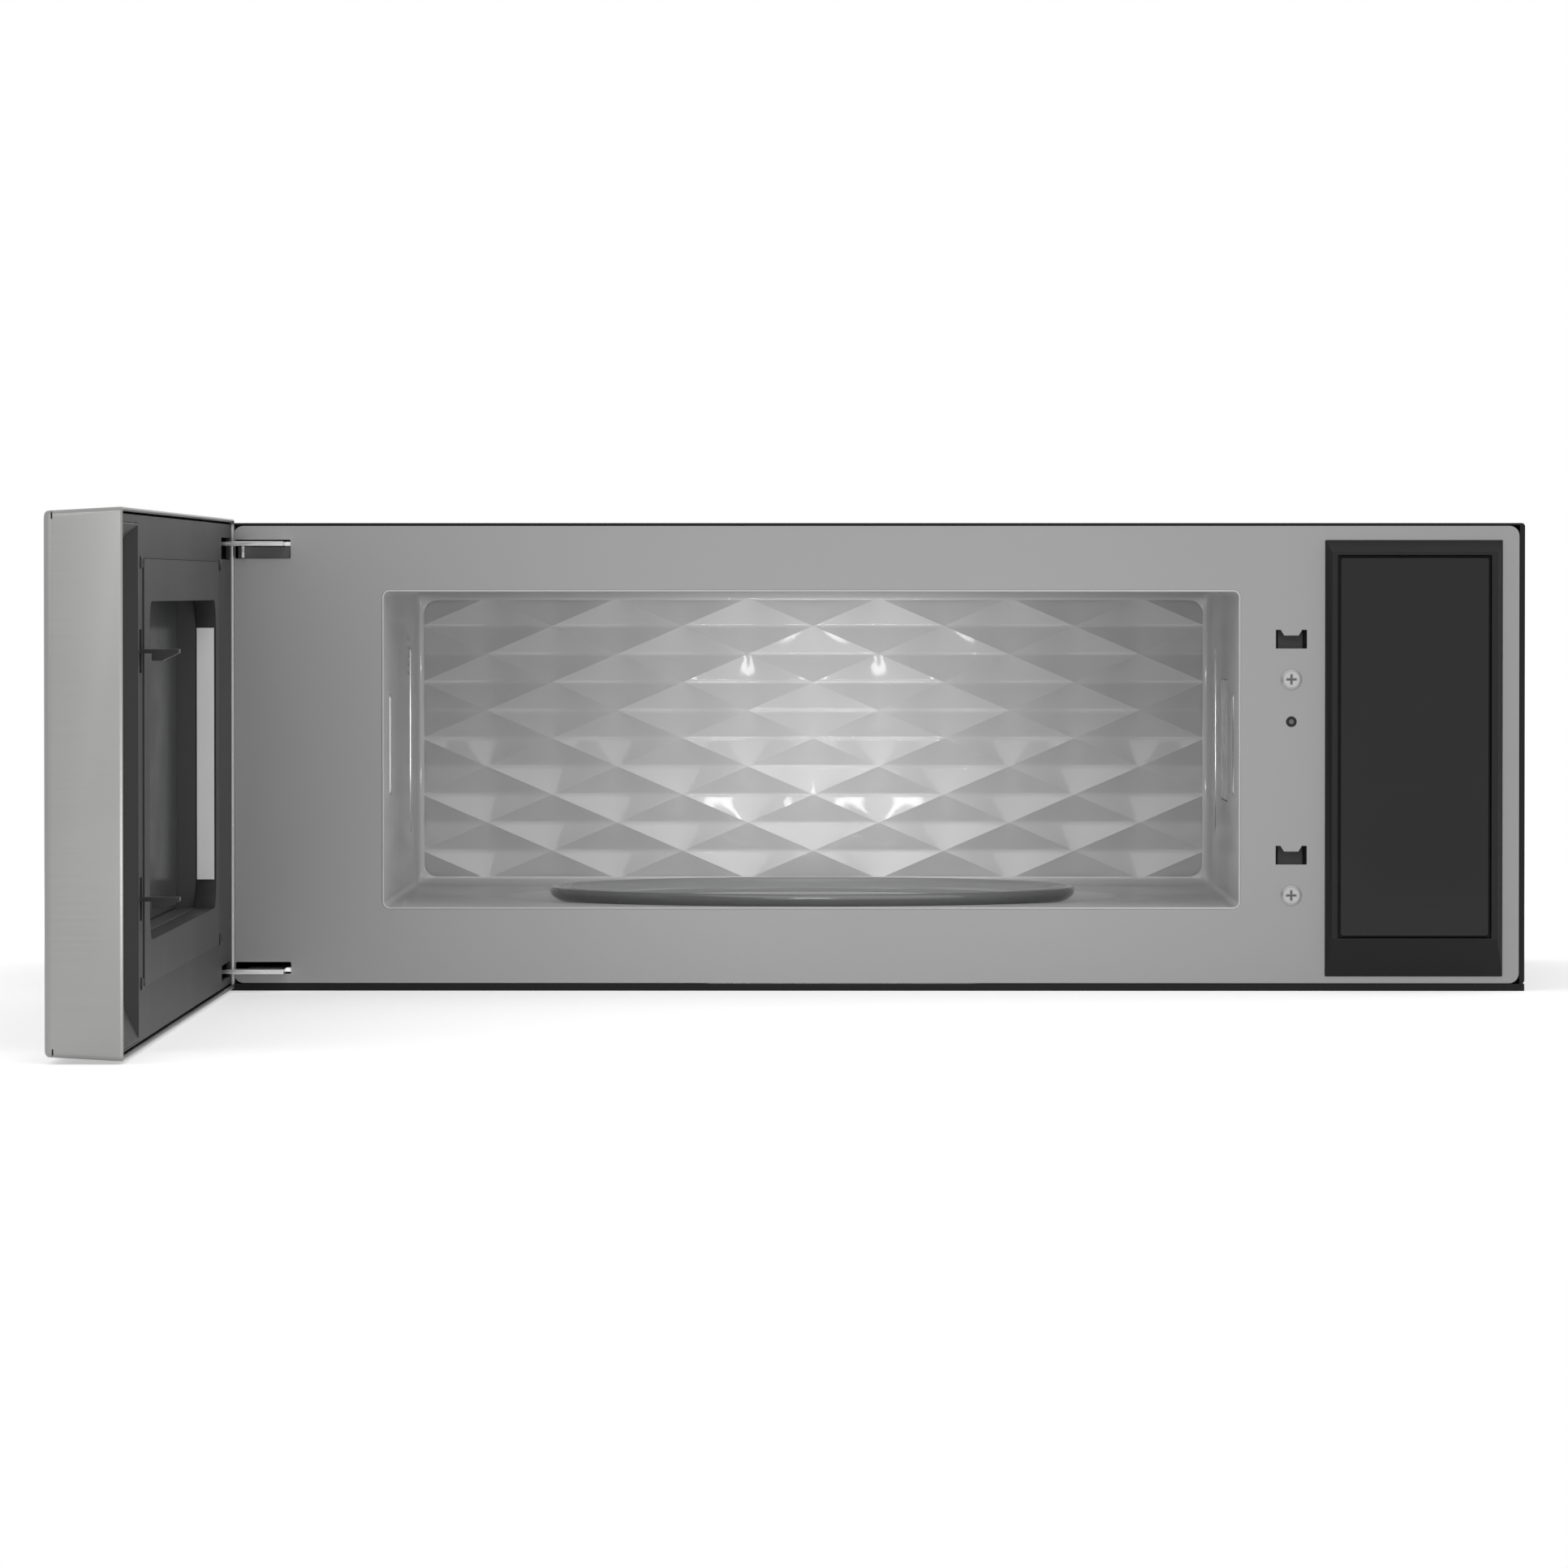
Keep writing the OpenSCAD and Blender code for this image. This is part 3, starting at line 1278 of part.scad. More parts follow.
module door_frame() {
    color([0.27, 0.27, 0.27]) open_door() {
        difference() {
            block(skirt_x0, skirt_x1, frame_front, frame_back, skirt_z0, skirt_z1);
            block(choke_x0, choke_x1, frame_front - over, frame_back + over, choke_low, choke_z1);
            block(pod_x0 - mouth_side, pod_x1 + mouth_side - 1, frame_front - over, frame_back + over,
                mouth_z0 - 1, mouth_z1 + 1);
            for (z = slot_floors)
                block(latch_x - hook_w / 2 - 0.6, latch_x + hook_w / 2 + 0.6, frame_front - over,
                    frame_back + over, z + hook_rise + hook_t / 2 - hook_slot_h / 2,
                    z + hook_rise + hook_t / 2 + hook_slot_h / 2);
            block(pivot_x - eye_r - 3, pivot_x + arm_leg_out + arm_leg_w + 5, frame_front - over,
                frame_back + over, arm_high_z - arm_flange_drop - 1, arm_high_z + arm_t + 2);
            block(pivot_x - eye_r - 3, pivot_x + arm_leg_out + arm_leg_w + 5, frame_front - over,
                frame_back + over, arm_low_z - 2, arm_low_z + arm_t + 4);
            for (p = door_screw_places) rod_y(p[0], frame_front - over, frame_back + over, p[1], 1.7);
        }
        for (x = [skirt_x0, skirt_x1 - skirt_t])
            block(x, x + skirt_t, skin_back + rest_gap, frame_front + 0.1, skirt_z0, skirt_z1);
        for (x = [bar_x0 - rest_gap - skirt_t, bar_x1 + rest_gap])
            block(x, x + skirt_t, bar_y1 - bar_t, frame_front + 0.1, guide_z, bar_stop_z + skirt_t);
        for (x = [bar_x0 - rest_gap - skirt_t, bar_x1 + rest_gap])
            block(x, x + skirt_t, bar_y1 - bar_t, frame_front + 0.1, bar_z0, bar_z0 + 8);
        block(bar_x0 - rest_gap - skirt_t, bar_x1 + rest_gap + skirt_t, bar_y1 - bar_t - 1, frame_front + 0.1,
            bar_stop_z, bar_stop_z + skirt_t);
        block(bar_x0 - rest_gap - skirt_t, bar_x1 + rest_gap + skirt_t, bar_y1 - bar_t, frame_front + 0.1,
            bar_z0 - rest_gap - skirt_t, bar_z0 - rest_gap);
    }
}

// The black liner through which the closed door shows the control pod
module control_tunnel() {
    w = tunnel_wall;
    mouth_y = frame_back;
    throat_y = rim_y - funnel_d;
    color([0.13, 0.13, 0.13]) open_door() difference() {
        union() {
            hull() {
                block(pod_x0 - mouth_side + 0.3, pod_x1 + mouth_side - 1.3, mouth_y - 1, mouth_y,
                    mouth_z0 - 0.7, mouth_z1 + 0.7);
                block(tunnel_x0 - w, tunnel_x1 + w, throat_y - 0.1, throat_y, tunnel_z0 - w, tunnel_z1 + w);
            }
            block(tunnel_x0 - w + 0.1, tunnel_x1 + w - 0.1, door_front, throat_y,
                tunnel_z0 - w + 0.1, tunnel_z1 + w - 0.1);
        }
        hull() {
            block(pod_x0 - mouth_side + 1.2, pod_x1 + mouth_side - 2.2, mouth_y, mouth_y + 0.1,
                mouth_z0, mouth_z1);
            block(tunnel_x0, tunnel_x1, throat_y - 0.1, throat_y, tunnel_z0, tunnel_z1);
        }
        block(tunnel_x0, tunnel_x1, door_front - over, throat_y + 0.05, tunnel_z0, tunnel_z1);
    }
}

module choke_cover() {
    color([0.24, 0.24, 0.24]) open_door() difference() {
        union() {
            face_block(choke_x0 + 0.2, choke_x1 - 0.2, frame_front, frame_back + choke_raise,
                choke_low + 0.2, choke_z1 - 0.2, 4);
            face_block(win_x0 - 2, win_x1 + 2, frame_back - recess_step, frame_back, win_z0 - 2, win_z1 + 2,
                recess_r + 2);
        }
        face_block(win_x0, win_x1, frame_back - recess_step - over, frame_back + over, win_z0, win_z1, recess_r);
    }
}

pan_t = 1;
pan_margin = 5;

module door_pan() {
    x0 = choke_x0 - pan_margin;
    x1 = choke_x1 + pan_margin;
    z0 = choke_low - pan_margin;
    z1 = choke_z1 + pan_margin;
    y0 = recess_y - pane_t - 1.5;
    inner_y = frame_back - recess_step - 0.2;
    color("dimgray") open_door() difference() {
        block(x0, x1, y0, frame_front, z0, z1);
        difference() {
            block(x0 + pan_t, x1 - pan_t, y0 + pan_t, frame_front + over, z0 + pan_t, z1 - pan_t);
            block(win_x0 - pan_t, win_x1 + pan_t, y0, inner_y, win_z0 - pan_t, win_z1 + pan_t);
        }
        block(win_x0, win_x1, y0 + pan_t, frame_front + over, win_z0, win_z1);
        block(win_x0 + glass_lap, win_x1 - glass_lap, y0 - over, y0 + pan_t + over,
            win_z0 + glass_lap, win_z1 - glass_lap);
    }
}

module window_screen() {
    y0 = recess_y - pane_t - 0.5;
    color("black") open_door()
        block(win_x0 + 0.2, win_x1 - 0.2, y0, y0 + 0.4, win_z0 + 0.2, win_z1 - 0.2);
}

module window_inner() {
    color([0.3, 0.3, 0.3, 0.5]) open_door()
        block(win_x0 + 0.2, win_x1 - 0.2, recess_y - pane_t, recess_y, win_z0 + 0.2, win_z1 - 0.2);
}

module window_outer() {
    color([0.1, 0.1, 0.1, 0.6]) open_door() {
        face_block(view_x0 + 0.2, view_x1 - 0.2, door_front + 0.2, skin_back + 1, view_z0 + 0.2, view_z1 - 0.2, 1);
        block(view_x0 - glass_lap, view_x1 + glass_lap, skin_back, skin_back + pane_t,
            view_z0 - glass_lap, view_z1 + glass_lap);
    }
}

bracket_t = 2;
bracket_web = 2.2;

// A bracket with two leaves that hold a hinge pin above and below an arm
module hinge_bracket(z0, z1) {
    x0 = skirt_x0 + skirt_t;
    x1 = pivot_x + eye_r + 3;
    y0 = pivot_y - eye_r - bracket_web - 0.8;
    color("silver") open_door() difference() {
        union() {
            block(x0, x1, y0, y0 + bracket_web, z0, z1);
            for (z = [z0, z1 - bracket_t]) block(x0, x1, y0, pivot_y + eye_r, z, z + bracket_t);
        }
        rod_z(pivot_x, pivot_y, z0 - over, z1 + over, pin_r);
    }
}
upper_leaf_z0 = arm_high_z - arm_flange_drop - 4.5;
upper_leaf_z1 = arm_high_z + arm_t + 5;
lower_leaf_z0 = arm_low_z - 5;
lower_leaf_z1 = arm_low_z + arm_t + 7;
module hinge_bracket_upper() { hinge_bracket(upper_leaf_z0, upper_leaf_z1); }
module hinge_bracket_lower() { hinge_bracket(lower_leaf_z0, lower_leaf_z1); }

module hinge_pins() {
    color("silver") {
        rod_z(pivot_x, pivot_y, upper_leaf_z0, upper_leaf_z1, pin_r);
        rod_z(pivot_x, pivot_y, upper_leaf_z1, upper_leaf_z1 + 0.8, pin_r + 1.5);
        rod_z(pivot_x, pivot_y, lower_leaf_z0, lower_leaf_z1, pin_r);
        rod_z(pivot_x, pivot_y, lower_leaf_z1, lower_leaf_z1 + 0.8, pin_r + 1.5);
    }
}

module latch_bar() {
    tip = frame_back + hook_reach;
    barb_y = front + face_t + 0.6;
    color("gray") open_door() {
        block(bar_x0, bar_x1, bar_y1 - bar_t, bar_y1, bar_z0, bar_z1);
        for (z = slot_floors) {
            block(latch_x - hook_w / 2, latch_x + hook_w / 2, bar_y1 - bar_t, tip,
                z + hook_rise, z + hook_rise + hook_t);
            translate([latch_x - hook_w / 2, 0, z + hook_rise]) rotate([90, 0, 90]) linear_extrude(hook_w)
                polygon([[barb_y, 0.1], [barb_y, -hook_barb], [barb_y + 5, -hook_barb], [tip, 0.1]]);
        }
    }
}

module latch_spring() {
    color("silver") open_door() difference() {
        rod_z(latch_x, bar_y1 - bar_t / 2, bar_z1, bar_stop_z, spring_r);
        rod_z(latch_x, bar_y1 - bar_t / 2, bar_z1 - over, bar_stop_z + over, spring_r - 0.8);
    }
}

door_screw_places = [for (x = [choke_x0 - 16, latch_x], z = [choke_low + 2, choke_z1 - 2]) [x, z]];

module door_screws() {
    color("silver") open_door() for (p = door_screw_places)
        translate([p[0], frame_back, p[1]]) mirror([0, 1, 0]) cross_screw(3.2, 1.2, 1.65, 4);
}

base_pan();
wrap_cover();
rear_panel();
front_frame();
control_plate();
latch_strip();
catch_plates();
hinge_pocket();
hinge_arm_upper();
hinge_arm_lower();
latch_board();
interlock_switches();
face_screws();
door_sense_plunger();
interlock_lever_upper();
interlock_lever_lower();
control_bezel();
control_glass();
control_board();
cavity_shell();
cavity_rear_quilt();
waveguide();
magnetron();
hv_transformer();
hv_capacitor();
filter_board();
component_shelf();
cooling_fan_housing();
cooling_fan_wheel();
blower_housing();
blower_wheel();
blower_motor();
exhaust_adapter();
damper_flap();
charcoal_filter();
turntable_motor();
turntable_coupler();
roller_ring();
roller_1();
roller_2();
roller_3();
glass_tray();
cavity_lamp();
grease_filter_left();
grease_filter_right();
cooktop_lens();
cooktop_lamps();
cord_grommet();
case_screws();
door_shell();
door_frame();
control_tunnel();
choke_cover();
door_pan();
window_screen();
window_outer();
window_inner();
hinge_bracket_upper();
hinge_bracket_lower();
hinge_pins();
latch_bar();
latch_spring();
door_screws();
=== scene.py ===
"""Over-the-range microwave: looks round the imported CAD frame. Metres, X right, Y to the wall, Z up."""

import math

import bmesh
import bpy
from bpy.props import FloatProperty, FloatVectorProperty, IntProperty, PointerProperty
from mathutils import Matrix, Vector


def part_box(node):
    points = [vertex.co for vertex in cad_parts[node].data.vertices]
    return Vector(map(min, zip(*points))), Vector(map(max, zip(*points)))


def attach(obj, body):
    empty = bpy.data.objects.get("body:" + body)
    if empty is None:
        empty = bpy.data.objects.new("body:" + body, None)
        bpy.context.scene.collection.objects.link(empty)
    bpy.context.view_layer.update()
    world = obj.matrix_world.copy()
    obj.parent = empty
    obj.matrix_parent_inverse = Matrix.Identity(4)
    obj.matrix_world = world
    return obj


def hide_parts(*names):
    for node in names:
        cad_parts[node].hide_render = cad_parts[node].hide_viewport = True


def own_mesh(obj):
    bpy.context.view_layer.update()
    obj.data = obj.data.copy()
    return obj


bl_info = {
    "name": "Over-the-range microwave",
    "version": (1, 0, 0),
    "blender": (4, 5, 0),
    "location": "3D View > Sidebar > Microwave",
    "description": "Builds the finish and fine detail of an over-the-range microwave round its CAD frame",
    "category": "Object",
}

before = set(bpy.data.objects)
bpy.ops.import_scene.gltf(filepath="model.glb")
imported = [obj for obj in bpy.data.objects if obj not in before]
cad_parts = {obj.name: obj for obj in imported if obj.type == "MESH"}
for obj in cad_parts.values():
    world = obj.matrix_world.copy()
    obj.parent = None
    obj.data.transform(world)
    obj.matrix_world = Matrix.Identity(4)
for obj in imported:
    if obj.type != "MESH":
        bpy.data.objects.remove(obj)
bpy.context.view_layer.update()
MM = 0.001
MERGE = 2e-6


def node_span(name, axis):
    """Lowest and highest place of a CAD node along one axis, in millimetres."""
    low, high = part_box(name)
    return low[axis] / MM, high[axis] / MM


# Outer case and face plate: places in millimetres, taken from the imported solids
CASE_LEFT, CASE_RIGHT = node_span("base_pan", 0)
FRONT = node_span("base_pan", 1)[0]
CASE_TOP = node_span("wrap_cover", 2)[1]
FACE_LEFT = node_span("front_frame", 0)[0]
FACE_RIGHT = node_span("control_plate", 0)[1]
FACE_LOW, FACE_HIGH = node_span("front_frame", 2)
FACE_T = 1.2

# Oven
SHELL_LIP = node_span("cavity_shell", 1)[0]
CAV_BACK = node_span("cavity_rear_quilt", 1)[0]
CAV_WALL = 1.2
CAV_LEFT = CASE_LEFT + 125.3
CAV_RIGHT = CASE_RIGHT - 159.2
CAV_FLOOR = 46.7
CAV_TOP = CASE_TOP - 38.4
CAVITY = (CAV_LEFT, CAV_RIGHT, CAV_FLOOR, CAV_TOP)

# Glass tray and the well below it
TRAY_LEFT, TRAY_RIGHT = node_span("glass_tray", 0)
TRAY_X = (TRAY_LEFT + TRAY_RIGHT) / 2
TRAY_Y = sum(node_span("glass_tray", 1)) / 2
TRAY_LOW = node_span("roller_1", 2)[1] + 0.3
TRAY_HIGH = node_span("glass_tray", 2)[1]
WELL_TOP_R = (CAV_BACK - TRAY_Y) - 7.0
WELL_LOW_R = WELL_TOP_R - 16.0
WELL_EDGE = WELL_TOP_R + 1.5
WELL_LOW = 28.0

# The waveguide's port in the oven's right wall
PORT = (TRAY_Y - 45.0, TRAY_Y + 45.0, CAV_TOP - 120.3, CAV_TOP - 50.3)

# Door: the open door's box, read back into the closed door's own axes
PIVOT_X = sum(node_span("hinge_pins", 0)) / 2
PIVOT_Y = sum(node_span("hinge_pins", 1)) / 2
DOOR_FREE = PIVOT_X + (PIVOT_Y - node_span("door_shell", 1)[0])
DOOR_HINGE = PIVOT_X + (PIVOT_Y - node_span("door_shell", 1)[1])
DOOR_FRONT = PIVOT_Y + (node_span("door_shell", 0)[0] - PIVOT_X)
DOOR_RIM = PIVOT_Y + (node_span("door_shell", 0)[1] - PIVOT_X)
DOOR_LOW, DOOR_HIGH = node_span("door_shell", 2)
DOOR_SKIN = 1.0
VIEW = (-263.0, 217.0, 43.3, 225.7)
WINDOW = (-251.0, 205.0, 51.3, 217.7)
RECESS_Y = DOOR_RIM - 22.0
CONTROLS_CUT = (269.3, 367.7, 21.4, 249.6)

# Latch slots, screws and hinge slots of the face plate
HOOK_X = CASE_RIGHT - 129.8
SLOT_W = 17.2
SLOT_H = 10.4
SLOT_LIP = 3.2
SLOT_FLOORS = (70.4, 190.6)
SCREW_HEIGHTS = (53.2, 173.4)
PLUNGER_Z = sum(node_span("door_sense_plunger", 2)) / 2
HINGE_SLOT_X = (-337.4, -306.6)
HINGE_SLOTS = ((9.5, 16.0), (240.6, 251.1))


def swing(x, y, z):
    """A point of the closed door, in millimetres, moved to the open door, in metres."""
    return ((PIVOT_X + y - PIVOT_Y) * MM, (PIVOT_Y - x + PIVOT_X) * MM, z * MM)


def stay(x, y, z):
    """A point of the cabinet in millimetres, in metres."""
    return (x * MM, y * MM, z * MM)


# Meshes


def linked(name, data):
    """Makes an object and puts it in the scene."""
    obj = bpy.data.objects.new(name, data)
    bpy.context.scene.collection.objects.link(obj)
    return obj


def piece(name, points, faces, material, body, slot, stands_for=(), smooth=35.0, place=stay):
    """Makes a mesh object from points in millimetres and lets it ride on a CAD body."""
    mesh = bpy.data.meshes.new(name)
    mesh.from_pydata([place(*p) for p in points], [], faces)
    mesh.validate()
    mesh.materials.append(material)
    obj = linked(name, mesh)
    face_outwards(mesh)
    if smooth:
        smooth_over(obj, smooth)
    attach(obj, body)
    if stands_for:
        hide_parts(*stands_for)
    return obj


def face_outwards(mesh):
    """Merges doubled points and turns every closed shell's faces outwards."""
    bm = bmesh.new()
    bm.from_mesh(mesh)
    bmesh.ops.remove_doubles(bm, verts=bm.verts, dist=MERGE)
    bmesh.ops.recalc_face_normals(bm, faces=bm.faces)
    bm.to_mesh(mesh)
    bm.free()


def smooth_over(obj, angle=35.0):
    """Shades a mesh smooth but for edges sharper than an angle."""
    obj.data.shade_smooth()
    obj.data.set_sharp_from_angle(angle=math.radians(angle))


def soften(obj, width, segments=2, angle=32.0):
    """Rounds an object's edges by a width in millimetres."""
    bevel = obj.modifiers.new("rounded_edges", "BEVEL")
    bevel.width = width * MM
    bevel.segments = segments
    bevel.limit_method = "ANGLE"
    bevel.angle_limit = math.radians(angle)
    bevel.harden_normals = True


def cut(obj, points, faces, place=stay):
    """Cuts a closed mesh, given in millimetres, out of an object for good."""
    mesh = bpy.data.meshes.new("cutter")
    mesh.from_pydata([place(*p) for p in points], [], faces)
    face_outwards(mesh)
    tool = linked("cutter", mesh)
    step = obj.modifiers.new("cut", "BOOLEAN")
    step.operation = "DIFFERENCE"
    step.solver = "EXACT"
    step.object = tool
    bpy.context.view_layer.update()
    graph = bpy.context.evaluated_depsgraph_get()
    done = bpy.data.meshes.new_from_object(obj.evaluated_get(graph))
    obj.modifiers.remove(step)
    obj.data = done
    bpy.data.objects.remove(tool)


def joined(*parts):
    """Joins (points, faces) pairs into one."""
    points, faces = [], []
    for more_points, more_faces in parts:
        shift = len(points)
        points.extend(more_points)
        faces.extend([i + shift for i in face] for face in more_faces)
    return points, faces


def box_mesh(x0, x1, y0, y1, z0, z1):
    """A box from its limits."""
    points = [(x, y, z) for z in (z0, z1) for y in (y0, y1) for x in (x0, x1)]
    faces = [(0, 2, 3, 1), (4, 5, 7, 6), (0, 1, 5, 4), (2, 6, 7, 3), (0, 4, 6, 2), (1, 3, 7, 5)]
    return points, faces


def loop_tube(loops, closed=False):
    """Skins a list of point loops of equal length, with flat ends or back to the first."""
    count = len(loops[0])
    points = [p for loop in loops for p in loop]
    faces = []
    for k in range(len(loops) if closed else len(loops) - 1):
        a, b = k * count, ((k + 1) % len(loops)) * count
        for i in range(count):
            j = (i + 1) % count
            faces.append((a + i, a + j, b + j, b + i))
    if not closed:
        last = (len(loops) - 1) * count
        faces.append(tuple(range(count)))
        faces.append(tuple(last + i for i in range(count)))
    return points, faces


def layered(sections, closed=False):
    """Skins (x, z) outlines of equal length, each at its own depth."""
    return loop_tube([[(x, y, z) for x, z in outline] for outline, y in sections], closed)


def slab(outline, y0, y1):
    """A plate with an (x, z) outline, between two depths."""
    return layered([(outline, y0), (outline, y1)])


def arc(steps, start, end):
    """Angles in radians, spread evenly between two angles in degrees."""
    return [math.radians(start + (end - start) * k / steps) for k in range(steps + 1)]


def round_rect(x0, x1, z0, z1, r, steps=6):
    """Outline of a rectangle with round corners, as (x, z) pairs."""
    r = max(r, 0.01)
    corners = ((x1 - r, z1 - r, 0), (x0 + r, z1 - r, 90), (x0 + r, z0 + r, 180), (x1 - r, z0 + r, 270))
    return [(cx + r * math.cos(a), cz + r * math.sin(a))
            for cx, cz, start in corners for a in arc(steps, start, start + 90)]


def inset_rect(limits, inset, r, steps=6):
    """Outline of a rectangle drawn in by an inset all round, or let out by a negative one."""
    x0, x1, z0, z1 = limits
    return round_rect(x0 + inset, x1 - inset, z0 + inset, z1 - inset, r, steps)


def circle(cx, cy, r, steps):
    """Points of a circle, as pairs."""
    turns = (2 * math.pi * k / steps for k in range(steps))
    return [(cx + r * math.cos(a), cy + r * math.sin(a)) for a in turns]


def turned(profile, cx, cy, steps=128):
    """Turns a closed (radius, z) profile round a vertical axis."""
    loops = []
    for k in range(steps):
        a = 2 * math.pi * k / steps
        loops.append([(cx + r * math.cos(a), cy + r * math.sin(a), z) for r, z in profile])
    return loop_tube(loops, closed=True)


def helix(cx, cy, z0, z1, radius, wire, turns, steps=20, sides=8):
    """A coil spring of round wire along Z."""
    loops = []
    count = turns * steps
    for k in range(count + 1):
        a = 2 * math.pi * k / steps
        z = z0 + wire + (z1 - z0 - 2 * wire) * k / count
        loop = []
        for j in range(sides):
            b = 2 * math.pi * j / sides
            r = radius + wire * math.cos(b)
            loop.append((cx + r * math.cos(a), cy + r * math.sin(a), z + wire * math.sin(b)))
        loops.append(loop)
    return loop_tube(loops)


# Materials


class Finish:
    """A node material whose colour, gloss and relief come from procedural textures."""

    # The middle span of a noise texture's values, over which colour and gloss change
    LOW, HIGH = 0.3, 0.7

    def __init__(self, name, color, metallic=0.0, roughness=0.5, transmission=0.0, ior=1.45, coat=0.0,
                 coat_roughness=0.03, specular=0.5):
        self.material = bpy.data.materials.new(name)
        self.material.use_nodes = True
        self.tree = self.material.node_tree
        self.shader = self.tree.nodes["Principled BSDF"]
        self.color = (*color[:3], 1.0)
        self.material.diffuse_color = self.color
        for socket, value in (
                ("Base Color", self.color), ("Metallic", metallic), ("Roughness", roughness),
                ("Transmission Weight", transmission), ("IOR", ior), ("Coat Weight", coat),
                ("Coat Roughness", coat_roughness), ("Specular IOR Level", specular)):
            self.shader.inputs[socket].default_value = value
        self.place = self.tree.nodes.new("ShaderNodeTexCoord")
        self.height = None

    def node(self, kind, **inputs):
        """Adds a node and sets its sockets; an underscore stands for a space."""
        made = self.tree.nodes.new(kind)
        for key, value in inputs.items():
            made.inputs[key.replace("_", " ")].default_value = value
        return made

    def link(self, source, target):
        self.tree.links.new(source, target)

    def textured(self, kind, stretch, **inputs):
        """Adds a texture on the object's coordinates, scaled apart along each axis."""
        mapping = self.node("ShaderNodeMapping", Scale=stretch)
        made = self.node(kind, **inputs)
        self.link(self.place.outputs["Object"], mapping.inputs["Vector"])
        self.link(mapping.outputs["Vector"], made.inputs["Vector"])
        return made

    def noise(self, scale, detail=3.0, stretch=(1, 1, 1), roughness=0.5):
        made = self.textured("ShaderNodeTexNoise", stretch, Scale=scale, Detail=detail, Roughness=roughness)
        return made.outputs["Fac"]

    def cells(self, scale, metric="EUCLIDEAN"):
        """Distance to the middle of the nearest cell."""
        made = self.textured("ShaderNodeTexVoronoi", (1, 1, 1), Scale=scale)
        made.distance = metric
        return made.outputs["Distance"]

    def tone(self, factor, darker, lighter):
        """Lets the colour wander between two shares of itself."""
        ramp = self.node("ShaderNodeValToRGB")
        ramp.color_ramp.interpolation = "EASE"
        for element, place, share in zip(ramp.color_ramp.elements, (self.LOW, self.HIGH), (darker, lighter)):
            element.position = place
            element.color = (*[min(1.0, c * share) for c in self.color[:3]], 1.0)
        self.link(factor, ramp.inputs["Fac"])
        self.link(ramp.outputs["Color"], self.shader.inputs["Base Color"])

    def gloss(self, factor, low, high):
        """Lets the roughness wander between two values."""
        spread = self.node("ShaderNodeMapRange", From_Min=self.LOW, From_Max=self.HIGH,
                           To_Min=low, To_Max=high)
        spread.interpolation_type = "SMOOTHSTEP"
        self.link(factor, spread.inputs["Value"])
        self.link(spread.outputs["Result"], self.shader.inputs["Roughness"])

    def relief(self, factor, depth, strength=1.0):
        """Adds a bump whose depth is in millimetres."""
        bump = self.node("ShaderNodeBump", Strength=strength, Distance=depth * MM)
        self.link(factor, bump.inputs["Height"])
        if self.height is not None:
            self.link(self.height, bump.inputs["Normal"])
        self.height = bump.outputs["Normal"]
        self.link(self.height, self.shader.inputs["Normal"])


def brushed_metal(name, color, roughness, grain, metallic=1.0, spread=0.06):
    """Metal with fine parallel scratches; grain scales the texture along each axis."""
    made = Finish(name, color, metallic=metallic, roughness=roughness)
    lines = made.noise(1.0, 4.0, grain, 0.6)
    made.gloss(lines, roughness - spread, roughness + spread)
    made.relief(lines, 0.006)
    made.tone(made.noise(9.0, 2.0), 0.97, 1.03)
    return made.material


def painted_sheet(name, color, roughness, metallic=0.0, peel=0.015, specular=0.5):
    """Sprayed sheet metal with a faint orange-peel skin."""
    made = Finish(name, color, metallic=metallic, roughness=roughness, specular=specular)
    broad = made.noise(7.0, 3.0)
    made.relief(made.noise(900.0, 2.0), peel)
    made.gloss(broad, roughness - 0.02, roughness + 0.02)
    made.tone(broad, 0.98, 1.02)
    return made.material


def galvanised(name, color, roughness=0.42):
    """Zinc-coated sheet with its pattern of large flat crystals."""
    made = Finish(name, color, metallic=0.9, roughness=roughness)
    made.tone(made.cells(120.0), 0.9, 1.06)
    made.gloss(made.noise(160.0), roughness - 0.08, roughness + 0.08)
    made.relief(made.noise(700.0), 0.01)
    return made.material


def moulded(name, color, roughness=0.45, grain=650.0, depth=0.02, specular=0.4):
    """Moulded plastic with a fine spark-eroded grain."""
    made = Finish(name, color, roughness=roughness, specular=specular)
    made.relief(made.noise(grain, 4.0), depth)
    made.tone(made.noise(25.0), 0.98, 1.02)
    made.gloss(made.noise(60.0), roughness - 0.02, roughness + 0.02)
    return made.material


def glazing(name, color, roughness=0.03, transmission=1.0, ior=1.5, specular=0.5):
    """Tinted glass with faint wipe marks in its gloss."""
    made = Finish(name, color, roughness=roughness, transmission=transmission, ior=ior, specular=specular)
    made.gloss(made.noise(14.0, 3.0, (1, 1, 3)), roughness, roughness + 0.05)
    made.relief(made.noise(5.0, 1.0), 0.02, 0.4)
    return made.material


def cavity_paint(finishes):
    """Baked semi-gloss paint of the oven's inside, made once and shared."""
    found = bpy.data.materials.get("cavity_paint")
    if found:
        return found
    made = Finish("cavity_paint", finishes.cavity, metallic=0.1, roughness=0.38, coat=0.3,
                  coat_roughness=0.04)
    made.relief(made.noise(800.0, 2.0), 0.012)
    made.gloss(made.noise(18.0, 1.0), 0.36, 0.4)
    made.tone(made.noise(6.0, 1.0), 0.99, 1.01)
    return made.material


# Settings


def colour(name, description, level=0.0, tint=None):
    """A colour setting: a grey level, or a tint of its own."""
    return FloatVectorProperty(name=name, description=description, default=tint or (level, level, level),
                               subtype="COLOR", min=0, max=1)


def length(name, description, default, low, high):
    """A length setting, in metres."""
    return FloatProperty(name=name, description=description, default=default, unit="LENGTH", min=low,
                         max=high)


